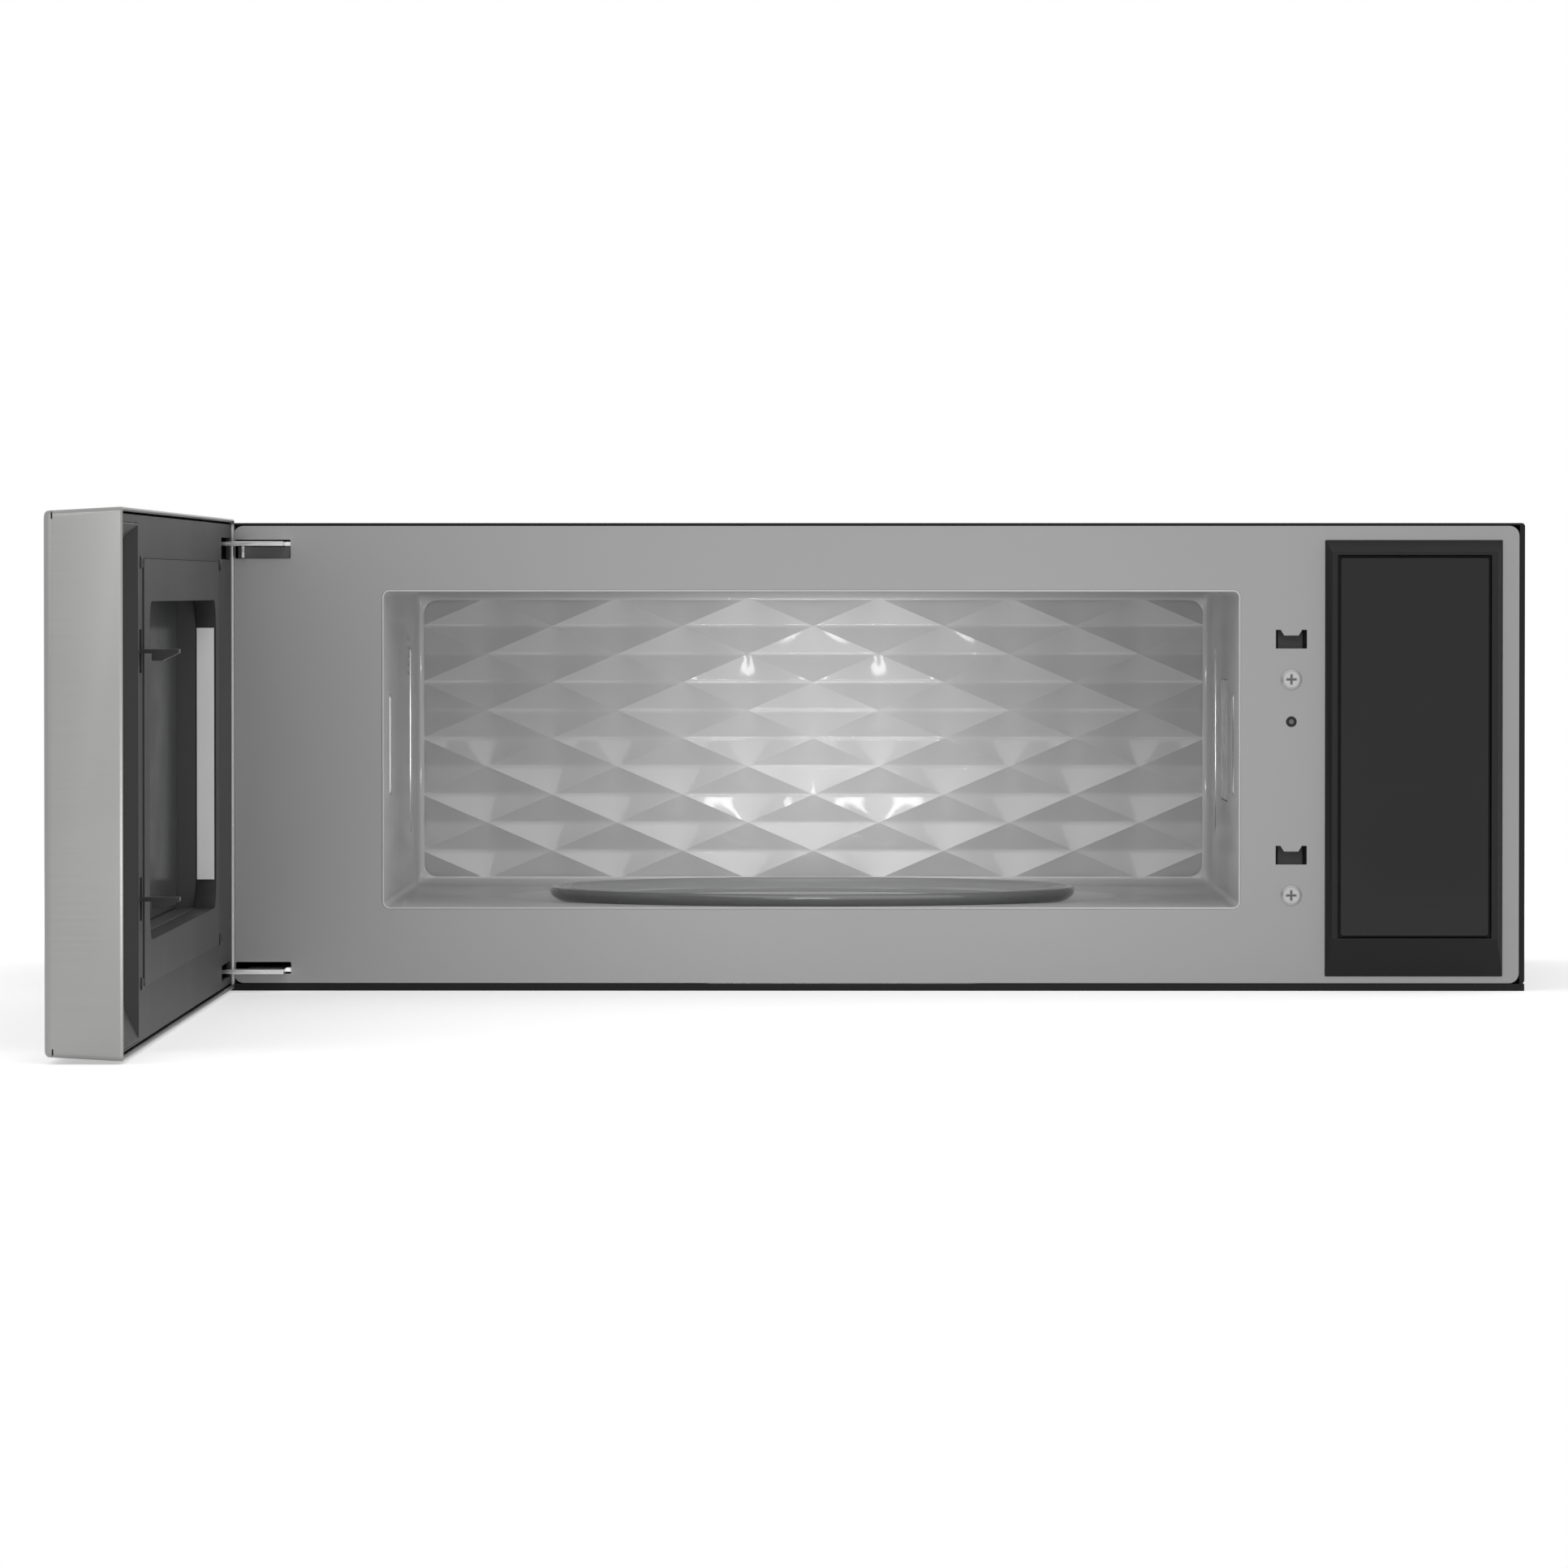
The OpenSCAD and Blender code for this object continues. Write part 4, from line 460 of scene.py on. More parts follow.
def power(name, description, default, high=20):
    """A lamp's power, in watts."""
    return FloatProperty(name=name, description=description, default=default, unit="POWER", min=0, max=high)


def turn(name, description, degrees):
    """A small angle, given in degrees."""
    return FloatProperty(name=name, description=description, default=math.radians(degrees), subtype="ANGLE",
                         min=-0.2, max=0.2)


class MicrowaveFinishes(bpy.types.PropertyGroup):
    """Colours of the surfaces."""

    steel: colour("Door steel", "Brushed stainless skin of the door", tint=(0.29, 0.29, 0.287))
    face: colour("Face plate", "Grey paint of the face plate", 0.275)
    cavity: colour("Cavity", "Baked paint inside the oven", 0.57)
    case: colour("Case", "Black paint of the outer case", 0.005)
    door_plastic: colour("Door frame", "Dark grey plastic on the inside of the door", 0.035)
    pod: colour("Control pod", "Dark plastic round the control glass", 0.017)


class MicrowaveQuilt(bpy.types.PropertyGroup):
    """Pressed diamonds of the oven's rear wall."""

    width: length("Diamond width", "Width of one diamond", 0.0781, 0.03, 0.2)
    height: length("Diamond height", "Height of one diamond", 0.0336, 0.02, 0.1)
    depth: length("Hollow", "Depth of the hollow in a diamond", 0.002, 0, 0.003)
    steps: IntProperty(name="Steps", description="Mesh steps across one diamond", default=20, min=6, max=24)


class MicrowaveDoor(bpy.types.PropertyGroup):
    """Edges and bends of the door."""

    fold: length("Front fold", "Radius of the skin's fold at the front face", 0.0024, 0.0005, 0.005)
    roll: length("Rim roll", "Radius of the rolled edge at the rim", 0.0009, 0.0003, 0.0015)


class MicrowaveStudio(bpy.types.PropertyGroup):
    """Camera, lamps and floor."""

    camera_y: length("Camera place", "Camera's place along the room's depth", -5.0935, -20, -1)
    camera_z: length("Camera height", "Height of the lens above the floor", 0.224, 0, 3)
    lens: FloatProperty(name="Lens", description="Focal length on a 36 mm sensor", default=201.4,
                        unit="CAMERA", min=20, max=400)
    aim_left: turn("Aim left", "Turn of the camera to the left", 0.376)
    aim_down: turn("Aim down", "Tilt of the camera towards the floor", 1.277)
    key: power("Key lamp", "Power of the large lamp behind the camera", 14.0, 1000)
    oven: power("Oven lamp", "Power of the small lamp in the oven", 0.19)
    glint: power("Glint lamps", "Power of each lamp that only highlights see", 0.06)
    sheen: power("Sheen lamp", "Power of the front lamp that only gloss sees", 0.8)
    fill: power("Top lamp", "Power of the wide lamp overhead", 3.0, 1000)
    room: FloatProperty(name="Room light", description="Strength of the even light from all round",
                        default=0.85, min=0, max=2)


# Studio

# Each lamp's name, place, target, size and power setting, and the rays that don't see it
LAMPS = (
    ("key_lamp", (0.0, -5.1, 1.4), (0.0, -0.2, 0.12), (1.4, 0.8), "key", ()),
    ("oven_lamp", (-0.012, -0.03, 0.135), (-0.012, 0.15, 0.135), (0.06, 0.12), "oven", ("visible_glossy",)),
    ("upper_glint_lamp", (-0.012, -0.12, 0.165), (-0.012, 0.15, 0.165), (0.12, 0.005), "glint",
     ("visible_diffuse",)),
    ("lower_glint_lamp", (-0.012, -0.12, 0.105), (-0.012, 0.15, 0.105), (0.12, 0.005), "glint",
     ("visible_diffuse",)),
    ("sheen_lamp", (-0.012, -1.4, 0.05), (-0.012, 0.0, 0.05), (0.5, 0.15), "sheen", ("visible_diffuse",)),
    ("top_lamp", (0.0, -0.8, 3.0), (0.0, -0.3, 0.1), (2.4, 1.6), "fill", ()))


class MICROWAVE_OT_studio(bpy.types.Operator):
    """Sets up the camera, the lamps, the white room and the floor"""

    bl_idname = "microwave.studio"
    bl_label = "Studio"

    def execute(self, context):
        studio = context.scene.microwave_studio
        self.camera(context, studio)
        for name, place, target, size, setting, hidden_from in LAMPS:
            lamp = self.lamp(name, place, target, size, getattr(studio, setting))
            for rays in ("visible_camera", *hidden_from):
                setattr(lamp, rays, False)
        self.white_room(context, studio.room)
        self.floor()
        return {"FINISHED"}

    def camera(self, context, studio):
        lens = bpy.data.cameras.new("camera")
        lens.lens = studio.lens
        lens.sensor_width = 36
        lens.clip_start = 0.05
        lens.clip_end = 100
        camera = linked("camera", lens)
        camera.location = (0, studio.camera_y, studio.camera_z)
        camera.rotation_euler = (math.radians(90) - studio.aim_down, 0, studio.aim_left)
        context.scene.camera = camera

    def lamp(self, name, place, target, size, watts):
        light = bpy.data.lights.new(name, "AREA")
        light.shape = "RECTANGLE"
        light.size, light.size_y = size
        light.energy = watts
        lamp = linked(name, light)
        lamp.location = place
        aim = Vector(target) - Vector(place)
        lamp.rotation_euler = aim.to_track_quat("-Z", "Y").to_euler()
        return lamp

    def not_diffuse(self, tree):
        """One for the rays that show the background: from the camera, off gloss and through glass."""
        path = tree.nodes.new("ShaderNodeLightPath")
        shown = path.outputs["Is Camera Ray"]
        for rays in ("Is Glossy Ray", "Is Transmission Ray"):
            either = tree.nodes.new("ShaderNodeMath")
            either.operation = "MAXIMUM"
            tree.links.new(shown, either.inputs[0])
            tree.links.new(path.outputs[rays], either.inputs[1])
            shown = either.outputs[0]
        return shown

    def white_room(self, context, strength):
        """White wherever it is seen, and an even light of its own strength."""
        world = bpy.data.worlds.new("white_room")
        context.scene.world = world
        world.use_nodes = True
        tree = world.node_tree
        tree.nodes.clear()
        out = tree.nodes.new("ShaderNodeOutputWorld")
        mix = tree.nodes.new("ShaderNodeMixShader")
        for socket, level in ((1, strength), (2, 1.0)):
            light = tree.nodes.new("ShaderNodeBackground")
            light.inputs["Color"].default_value = (1, 1, 1, 1)
            light.inputs["Strength"].default_value = level
            tree.links.new(light.outputs[0], mix.inputs[socket])
        tree.links.new(self.not_diffuse(tree), mix.inputs["Fac"])
        tree.links.new(mix.outputs[0], out.inputs["Surface"])

    def floor(self):
        """A white disc that keeps the shadows and fades into the white room at its edge."""
        mesh = bpy.data.meshes.new("floor")
        reach, steps = 2.1, 96
        fade_start, fade_end = 0.02, 0.38
        white, glow = (0.85, 0.85, 0.85, 1), 0.4
        mesh.from_pydata([(x, y, 0) for x, y in circle(0, 0, reach, steps)], [], [tuple(range(steps))])
        floor = linked("floor", mesh)
        material = bpy.data.materials.new("white_floor")
        material.use_nodes = True
        tree = material.node_tree
        tree.nodes.clear()
        made = {kind: tree.nodes.new("ShaderNode" + kind) for kind in (
            "OutputMaterial", "BsdfDiffuse", "Emission", "BsdfTransparent", "AddShader", "MixShader",
            "TexCoord", "TexGradient", "ValToRGB", "Mapping", "Math")}
        made["BsdfDiffuse"].inputs["Color"].default_value = white
        made["Mapping"].inputs["Scale"].default_value = (1 / reach, 1 / reach, 1)
        made["TexGradient"].gradient_type = "SPHERICAL"
        fade = made["ValToRGB"].color_ramp
        fade.elements[0].position = fade_start
        fade.elements[1].position = fade_end
        made["Math"].operation = "MULTIPLY"
        made["Math"].inputs[1].default_value = glow
        tree.links.new(self.not_diffuse(tree), made["Math"].inputs[0])
        for source, out, target, into in (
                ("TexCoord", "Object", "Mapping", "Vector"), ("Mapping", "Vector", "TexGradient", "Vector"),
                ("TexGradient", "Fac", "ValToRGB", "Fac"), ("Math", 0, "Emission", "Strength"),
                ("BsdfDiffuse", 0, "AddShader", 0), ("Emission", 0, "AddShader", 1),
                ("ValToRGB", "Color", "MixShader", "Fac"), ("BsdfTransparent", 0, "MixShader", 1),
                ("AddShader", 0, "MixShader", 2), ("MixShader", 0, "OutputMaterial", "Surface")):
            tree.links.new(made[source].outputs[out], made[target].inputs[into])
        mesh.materials.append(material)


# Oven


class MICROWAVE_OT_quilted_wall(bpy.types.Operator):
    """Presses the oven's rear wall into diamonds, each with an upper and a lower slope"""

    bl_idname = "microwave.quilted_wall"
    bl_label = "Quilted rear wall"

    SHEET = 0.8
    # How far the ridge is rounded, the slopes' height before scaling, and how much the sides drop
    ROUNDING, PEAK, CROWN = 0.2, 0.553, 0.5

    def execute(self, context):
        quilt = context.scene.microwave_quilt
        n, depth = quilt.steps, quilt.depth / MM
        dx, dz = quilt.width / MM / n, quilt.height / MM / n
        nx = math.ceil(((CAV_RIGHT - CAV_LEFT) / 2 + 2) / dx)
        nz = math.ceil(((CAV_TOP - CAV_FLOOR) / 2 + 1) / dz)
        middle = (CAV_FLOOR + CAV_TOP) / 2
        rows, cols = 2 * nz + 1, 2 * nx + 1
        total = rows * cols
        spots = [(i, j) for j in range(-nz, nz + 1) for i in range(-nx, nx + 1)]
        points = [(TRAY_X + i * dx, y + depth * self.hollow(i, j, n), middle + j * dz)
                  for y in (CAV_BACK, CAV_BACK + self.SHEET) for i, j in spots]
        faces, creases = [], set()
        for j in range(rows - 1):
            for i in range(cols - 1):
                a = j * cols + i
                b, c, d = a + 1, a + cols + 1, a + cols
                u, v = i - nx, j - nz
                if (u - v) % n == 0:
                    faces += [(a, b, c), (a, c, d)]
                    creases.add((a, c))
                else:
                    faces += [(a, b, d), (b, c, d)]
                    if (u + v + 1) % n == 0:
                        creases.add((b, d))
        rear = [(c + total, b + total, a + total) for a, b, c in faces]
        rim = list(range(cols))
        rim += [(j + 1) * cols - 1 for j in range(1, rows)]
        rim += [(rows - 1) * cols + i for i in range(cols - 2, -1, -1)]
        rim += [j * cols for j in range(rows - 2, 0, -1)]
        sides = [(b, a, a + total, b + total) for a, b in zip(rim, rim[1:] + rim[:1])]
        wall = piece("quilted_wall", points, faces + rear + sides,
                     cavity_paint(context.scene.microwave_finishes), "cabinet", "cavity_enamel",
                     ["cavity_rear_quilt"], smooth=0)
        wall.data.shade_smooth()
        for edge in wall.data.edges:
            low, high = sorted(edge.vertices)
            if (low, high) in creases or (low - total, high - total) in creases:
                edge.use_edge_sharp = True
        return {"FINISHED"}

    def hollow(self, i, j, n):
        """Two straight slopes that meet at the diamond's middle, rounded off across its width."""
        p, q = ((s - 2 * math.floor(s / 2) - 1) for s in (2 * (i + j) / n, 2 * (i - j) / n))
        across, left = (p + q) / 2, 1 - abs(p - q) / 2
        ridge = left - math.sqrt(across ** 2 + self.ROUNDING * (left ** 2 - across ** 2))
        return ridge / self.PEAK * (1 - self.CROWN * across ** 2)


class MICROWAVE_OT_cavity(bpy.types.Operator):
    """Builds the oven's liner with its rolled lip and the pressed turntable well"""

    bl_idname = "microwave.cavity"
    bl_label = "Oven cavity"

    VENT_Y, VENT_Z = TRAY_Y + 82.5, CAV_TOP - 47.5
    VENT_PITCH, VENT_HOLE = 5.0, 3.2
    # Place along the wall, low end and high end of each bead, the same in both side walls
    BEADS = ((-150.0, 107.0, 165.0), (85.0, 80.0, 190.0))

    def execute(self, context):
        paint = cavity_paint(context.scene.microwave_finishes)
        self.liner(paint)
        self.well(paint)
        self.mica()
        self.beads()
        return {"FINISHED"}

    def liner(self, paint):
        """The four walls from the rear bend to the lip, open at the well, the port and the vent."""
        corner, bend = 3.0, 5.0
        sections = [
            (CAV_WALL, CAV_BACK), (CAV_WALL, FRONT + 0.4), (CAV_WALL - 0.05, SHELL_LIP + 0.25),
            (CAV_WALL - 0.3, SHELL_LIP + 0.03), (CAV_WALL / 2, SHELL_LIP), (0.35, SHELL_LIP + 0.05),
            (0.1, SHELL_LIP + 0.3), (0.0, SHELL_LIP + 0.8)]
        sections += [(-bend * (1 - math.cos(a)), CAV_BACK - bend - 0.05 + bend * math.sin(a))
                     for a in arc(6, 0, 90)]
        sections.append((-bend, CAV_BACK))
        outlines = [(inset_rect(CAVITY, -out, corner + abs(out)), y) for out, y in sections]
        liner = piece("cavity_liner", *layered(outlines, closed=True), paint, "cabinet", "cavity_enamel",
                      ["cavity_shell"])
        well = [(r, CAV_FLOOR + z) for r, z in ((0.01, -5), (WELL_EDGE, -5), (WELL_EDGE, 1), (0.01, 1))]
        cut(liner, *turned(well, TRAY_X, TRAY_Y))
        cut(liner, *box_mesh(CAV_RIGHT - 1, CAV_RIGHT + 3, *PORT))
        for row in range(5):
            for column in range(6):
                ring = circle(self.VENT_Y + self.VENT_PITCH * column, self.VENT_Z + self.VENT_PITCH * row,
                              self.VENT_HOLE / 2, 10)
                cut(liner, *loop_tube([[(x, *p) for p in ring] for x in (CAV_LEFT - 3, CAV_LEFT + 1)]))
        smooth_over(liner)

    def well(self, paint):
        """The well's skin: a flat rim, a rounded slope and a flat bottom with the shaft's hole."""
        bend, skin, shaft = 2.6, 0.3, 6.0
        slope = math.atan2(CAV_FLOOR - WELL_LOW, WELL_TOP_R - WELL_LOW_R)
        reach = bend * math.tan(slope / 2)
        turns = [(bend * math.sin(slope * k / 6), bend * (1 - math.cos(slope * k / 6))) for k in range(7)]
        top = [(WELL_EDGE, CAV_FLOOR)]
        top += [(WELL_TOP_R + reach - r, CAV_FLOOR - z) for r, z in turns]
        top += [(WELL_LOW_R - reach + r, WELL_LOW + z) for r, z in reversed(turns)]
        top += [(r, WELL_LOW) for r in (120.0, 60.0, shaft + 2)] + [(shaft, WELL_LOW - 0.3)]
        under = [(r + skin, z - CAV_WALL) for r, z in reversed(top)]
        under[-1] = (WELL_EDGE, CAV_FLOOR - CAV_WALL)
        piece("turntable_well", *turned(top + under, TRAY_X, TRAY_Y, 160), paint, "cabinet",
              "cavity_enamel", smooth=40)

    def mica(self):
        """The waveguide's cover, a sheet of mica in the port."""
        sheet = Finish("mica_sheet", (0.86, 0.855, 0.84), roughness=0.35)
        sheet.tone(sheet.cells(90.0), 0.8, 1.15)
        sheet.relief(sheet.noise(260.0), 0.03)
        outline = inset_rect(PORT, 0.4, 4)
        loops = [[(x, *p) for p in outline] for x in (CAV_RIGHT + 0.3, CAV_RIGHT + 0.8)]
        soften(piece("waveguide_cover", *loop_tube(loops), sheet.material, "cabinet", "charcoal"), 0.15)

    def beads(self):
        """Upright stiffening beads pressed into the two side walls; their bright bare metal is a painted
        highlight for the highlight streaks on the painted walls.
        """
        height, sunk, half = 1.1, 0.1, 1.6
        beads = []
        for x, into in ((CAV_LEFT, 1), (CAV_RIGHT, -1)):
            for y, low, high in self.BEADS:
                loops = []
                for z, size in ((low, 0.1), (low + 1, 0.7), (low + 3, 1), (high - 3, 1), (high - 1, 0.7),
                                (high, 0.1)):
                    loops.append([(x + into * size * (height * math.sin(a) - sunk),
                                   y + half * size * math.cos(a), z) for a in arc(8, 0, 180)])
                beads.append(loop_tube(loops))
        # Bright bare metal on painted walls: a painted highlight, so the beads show as highlight streaks
        metal = brushed_metal("bead_metal", (0.85, 0.85, 0.85), 0.2, (90, 90, 4))
        piece("wall_beads", *joined(*beads), metal, "cabinet", "cavity_enamel", smooth=60)


class MICROWAVE_OT_tray(bpy.types.Operator):
    """Turns the pressed glass tray with its rounded rim and moulded rings"""

    bl_idname = "microwave.tray"
    bl_label = "Glass tray"

    # The glass, how far the wall flares out, the rounded lip's height and the ring of lugs underneath
    THICK, FLARE, LIP, LUG_RING = 4.0, 26.5, 2.6, 17.0

    def execute(self, context):
        rim = (TRAY_RIGHT - TRAY_LEFT) / 2
        foot, height, thick = rim - self.FLARE, TRAY_HIGH - TRAY_LOW, self.THICK
        lip = thick / 2
        bed = TRAY_LOW + thick
        profile = [(r, TRAY_LOW + z) for r, z in ((0.05, 0), (117, 0), (118, 0.5), (122, 0.5))]
        profile += [(foot + self.FLARE * math.sin(a), TRAY_LOW + (height - self.LIP) * (1 - math.cos(a)))
                    for a in arc(14, 0, 90)]
        profile += [(rim - lip + lip * math.cos(a), TRAY_HIGH - lip + lip * math.sin(a))
                    for a in arc(8, 0, 180)[1:-1]]
        profile += [(foot - 1.5 + (self.FLARE - thick + 1.5) * math.sin(a),
                     bed + (height - thick) * (1 - math.cos(a))) for a in arc(14, 90, 0)[1:]]
        for outer, rise in ((foot - 8, 0.35), (86, 0.3), (46, 0.3)):
            profile += [(outer - r, bed + z) for r, z in ((0, 0), (1, rise), (3, rise), (4, 0))]
        profile.append((0.05, bed))
        parts = [turned(profile, TRAY_X, TRAY_Y, 144)]
        lug = [(r, TRAY_LOW + z) for r, z in ((0.05, -4), (3.2, -4), (4, -3.2), (4, 0.2), (0.05, 0.2))]
        for a in (math.radians(60 + 120 * k) for k in range(3)):
            parts.append(turned(lug, TRAY_X + self.LUG_RING * math.cos(a),
                                TRAY_Y + self.LUG_RING * math.sin(a), 24))
        glass = glazing("tray_glass", (0.42, 0.425, 0.425), 0.03, 0.45, 1.75)
        piece("tray_disc", *joined(*parts), glass, "tray", "tray_glass", ["glass_tray"], smooth=40)
        return {"FINISHED"}


# Door


class MICROWAVE_OT_door_skin(bpy.types.Operator):
    """Folds the door's stainless skin, with rounded folds, a rolled rim and its two openings"""

    bl_idname = "microwave.door_skin"
    bl_label = "Door skin"

    # How far the sides lean in towards the front, the corners' radius and the slits' place at the free end
    DRAFT, CORNER, SLIT = 2.0, 2.2, 2.8

    def execute(self, context):
        door = context.scene.microwave_door
        fold, roll, skin = door.fold / MM, door.roll / MM, DOOR_SKIN
        under_roll = DOOR_RIM - 2 * roll
        inner = max(fold - skin, 0.3)
        # How far each section lies inside the door's outline, and its depth
        sections = [(fold * (1 - math.sin(a)), DOOR_FRONT + fold * (1 - math.cos(a))) for a in arc(6, 0, 90)]
        sections.append((0.0, under_roll))
        sections += [(roll * (1 - math.cos(a)), DOOR_RIM - roll + roll * math.sin(a))
                     for a in arc(8, 0, 180)[1:-1]]
        sections += [(2 * roll, DOOR_RIM - roll), (2 * roll, under_roll), (skin, under_roll - 0.4)]
        sections += [(skin + inner * (1 - math.sin(a)), DOOR_FRONT + skin + inner * (1 - math.cos(a)))
                     for a in arc(6, 90, 0)]
        outlines = []
        for inset, y in sections:
            lean = self.DRAFT * max(0.0, min(1.0, (DOOR_RIM - y) / (DOOR_RIM - DOOR_FRONT)))
            limits = (DOOR_HINGE, DOOR_FREE, DOOR_LOW + lean, DOOR_HIGH - lean)
            outlines.append((inset_rect(limits, inset, self.CORNER), y))
        steel = brushed_metal("door_steel", context.scene.microwave_finishes.steel, 0.34, (6, 6, 2600))
        shell = piece("door_skin", *layered(outlines), steel, "door", "stainless", ["door_shell"],
                      place=swing)
        for opening, corner in ((VIEW, 1.5), (CONTROLS_CUT, 2.0)):
            cut(shell, *slab(round_rect(*opening, corner), DOOR_FRONT - 2, DOOR_FRONT + 4), place=swing)
        for z in (DOOR_LOW + self.SLIT, DOOR_HIGH - self.SLIT):
            cut(shell, *box_mesh(DOOR_FREE - 3, DOOR_FREE + 2, DOOR_FRONT + 3.5, DOOR_FRONT + 4.3,
                                 z - 3, z + 3), place=swing)
        smooth_over(shell)
        return {"FINISHED"}


class MICROWAVE_OT_window(bpy.types.Operator):
    """Fits the door's dark outer glass, its perforated screen and its inner pane"""

    bl_idname = "microwave.window"
    bl_label = "Door window"

    def execute(self, context):
        outer = glazing("dark_window_glass", (0.02, 0.021, 0.022), 0.03, 0.35)
        front = [(inset_rect(VIEW, inset, 1.5 if inset > 0 else 3), DOOR_FRONT + y) for inset, y in (
            (1.2, 0.55), (0.55, 0.3), (0.3, 0.6), (0.3, 2.0), (-6, 2.0), (-6, 4.0))]
        piece("window_front_glass", *layered(front), outer, "door", "window_glass", ["window_outer"],
              place=swing)
        film = glazing("inner_window_pane", (0.14, 0.142, 0.145), 0.2, 0.6, 1.04, 0.1)
        back = RECESS_Y - 3
        pane = [(inset_rect(WINDOW, inset, 2), y) for inset, y in (
            (0.8, back), (0.2, back + 0.6), (0.2, RECESS_Y - 0.6), (0.8, RECESS_Y))]
        piece("window_inner_pane", *layered(pane), film, "door", "window_film", ["window_inner"],
              place=swing)
        screen = Finish("perforated_screen", (0.02, 0.02, 0.02), metallic=0.3, roughness=0.5)
        holes = screen.cells(620.0)
        screen.tone(holes, 0.15, 1.6)
        screen.relief(holes, 0.15)
        piece("window_mesh", *slab(inset_rect(WINDOW, 0.2, 2), back - 0.5, back - 0.1), screen.material,
              "door", "screen_black", ["window_screen"], place=swing)
        return {"FINISHED"}


class MICROWAVE_OT_door_inside(bpy.types.Operator):
    """Finishes the door's dark frame, its choke cover, pan, latch hooks and screws"""

    bl_idname = "microwave.door_inside"
    bl_label = "Door inside"

    def execute(self, context):
        plastic = context.scene.microwave_finishes.door_plastic
        dress(painted_sheet("door_frame_paint", plastic, 0.5, peel=0.015, specular=0.2), 0.35, "door_frame")
        dress(painted_sheet("choke_paint", plastic, 0.45, peel=0.012, specular=0.2), 0.6, "choke_cover",
              segments=3)
        dress(painted_sheet("pan_paint", (0.05, 0.05, 0.05), 0.4), 0.3, "door_pan")
        dress(moulded("latch_plastic", (0.03, 0.03, 0.03), 0.35, specular=0.25), 0.4, "latch_bar")
        dress(brushed_metal("black_oxide", (0.05, 0.05, 0.05), 0.4, (300, 300, 300), 0.7), 0.2, "door_screws")
        self.recess_trim()
        return {"FINISHED"}

    def recess_trim(self):
        """The bright strips that line the straight sides of the window's step."""
        trim = brushed_metal("recess_trim", (0.66, 0.66, 0.66), 0.35, (6, 900, 6), 0.9)
        x0, x1, z0, z1 = WINDOW
        strips = [box_mesh(x, x + 0.38, DOOR_RIM - 11.7, DOOR_RIM - 2.3, z0 + 15, z1 - 15)
                  for x in (x0 + 0.02, x1 - 0.4)]
        soften(piece("window_step_trim", *joined(*strips), trim, "door", "bright_steel", place=swing), 0.12)


class MICROWAVE_OT_latch_spring(bpy.types.Operator):
    """Winds the spring that holds the latch down, between the latch and its seat in the door"""

    bl_idname = "microwave.latch_spring"
    bl_label = "Latch spring"

    WIRE, TURNS, LIFT = 0.35, 9, 2.5

    def execute(self, context):
        low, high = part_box("latch_spring")
        cx, cy = (low.x + high.x) / 2 / MM, (low.y + high.y) / 2 / MM
        radius = min(high.x - low.x, high.y - low.y) / 2 / MM - 0.4
        steel = brushed_metal("spring_wire", (0.6, 0.6, 0.6), 0.25, (900, 900, 60))
        wound = helix(cx, cy, low.z / MM, high.z / MM, radius, self.WIRE, self.TURNS)
        coil = piece("latch_coil", *wound, steel, "door", "bright_steel", ["latch_spring"], smooth=60)
        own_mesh(coil)
        return {"FINISHED"}


# Face plate


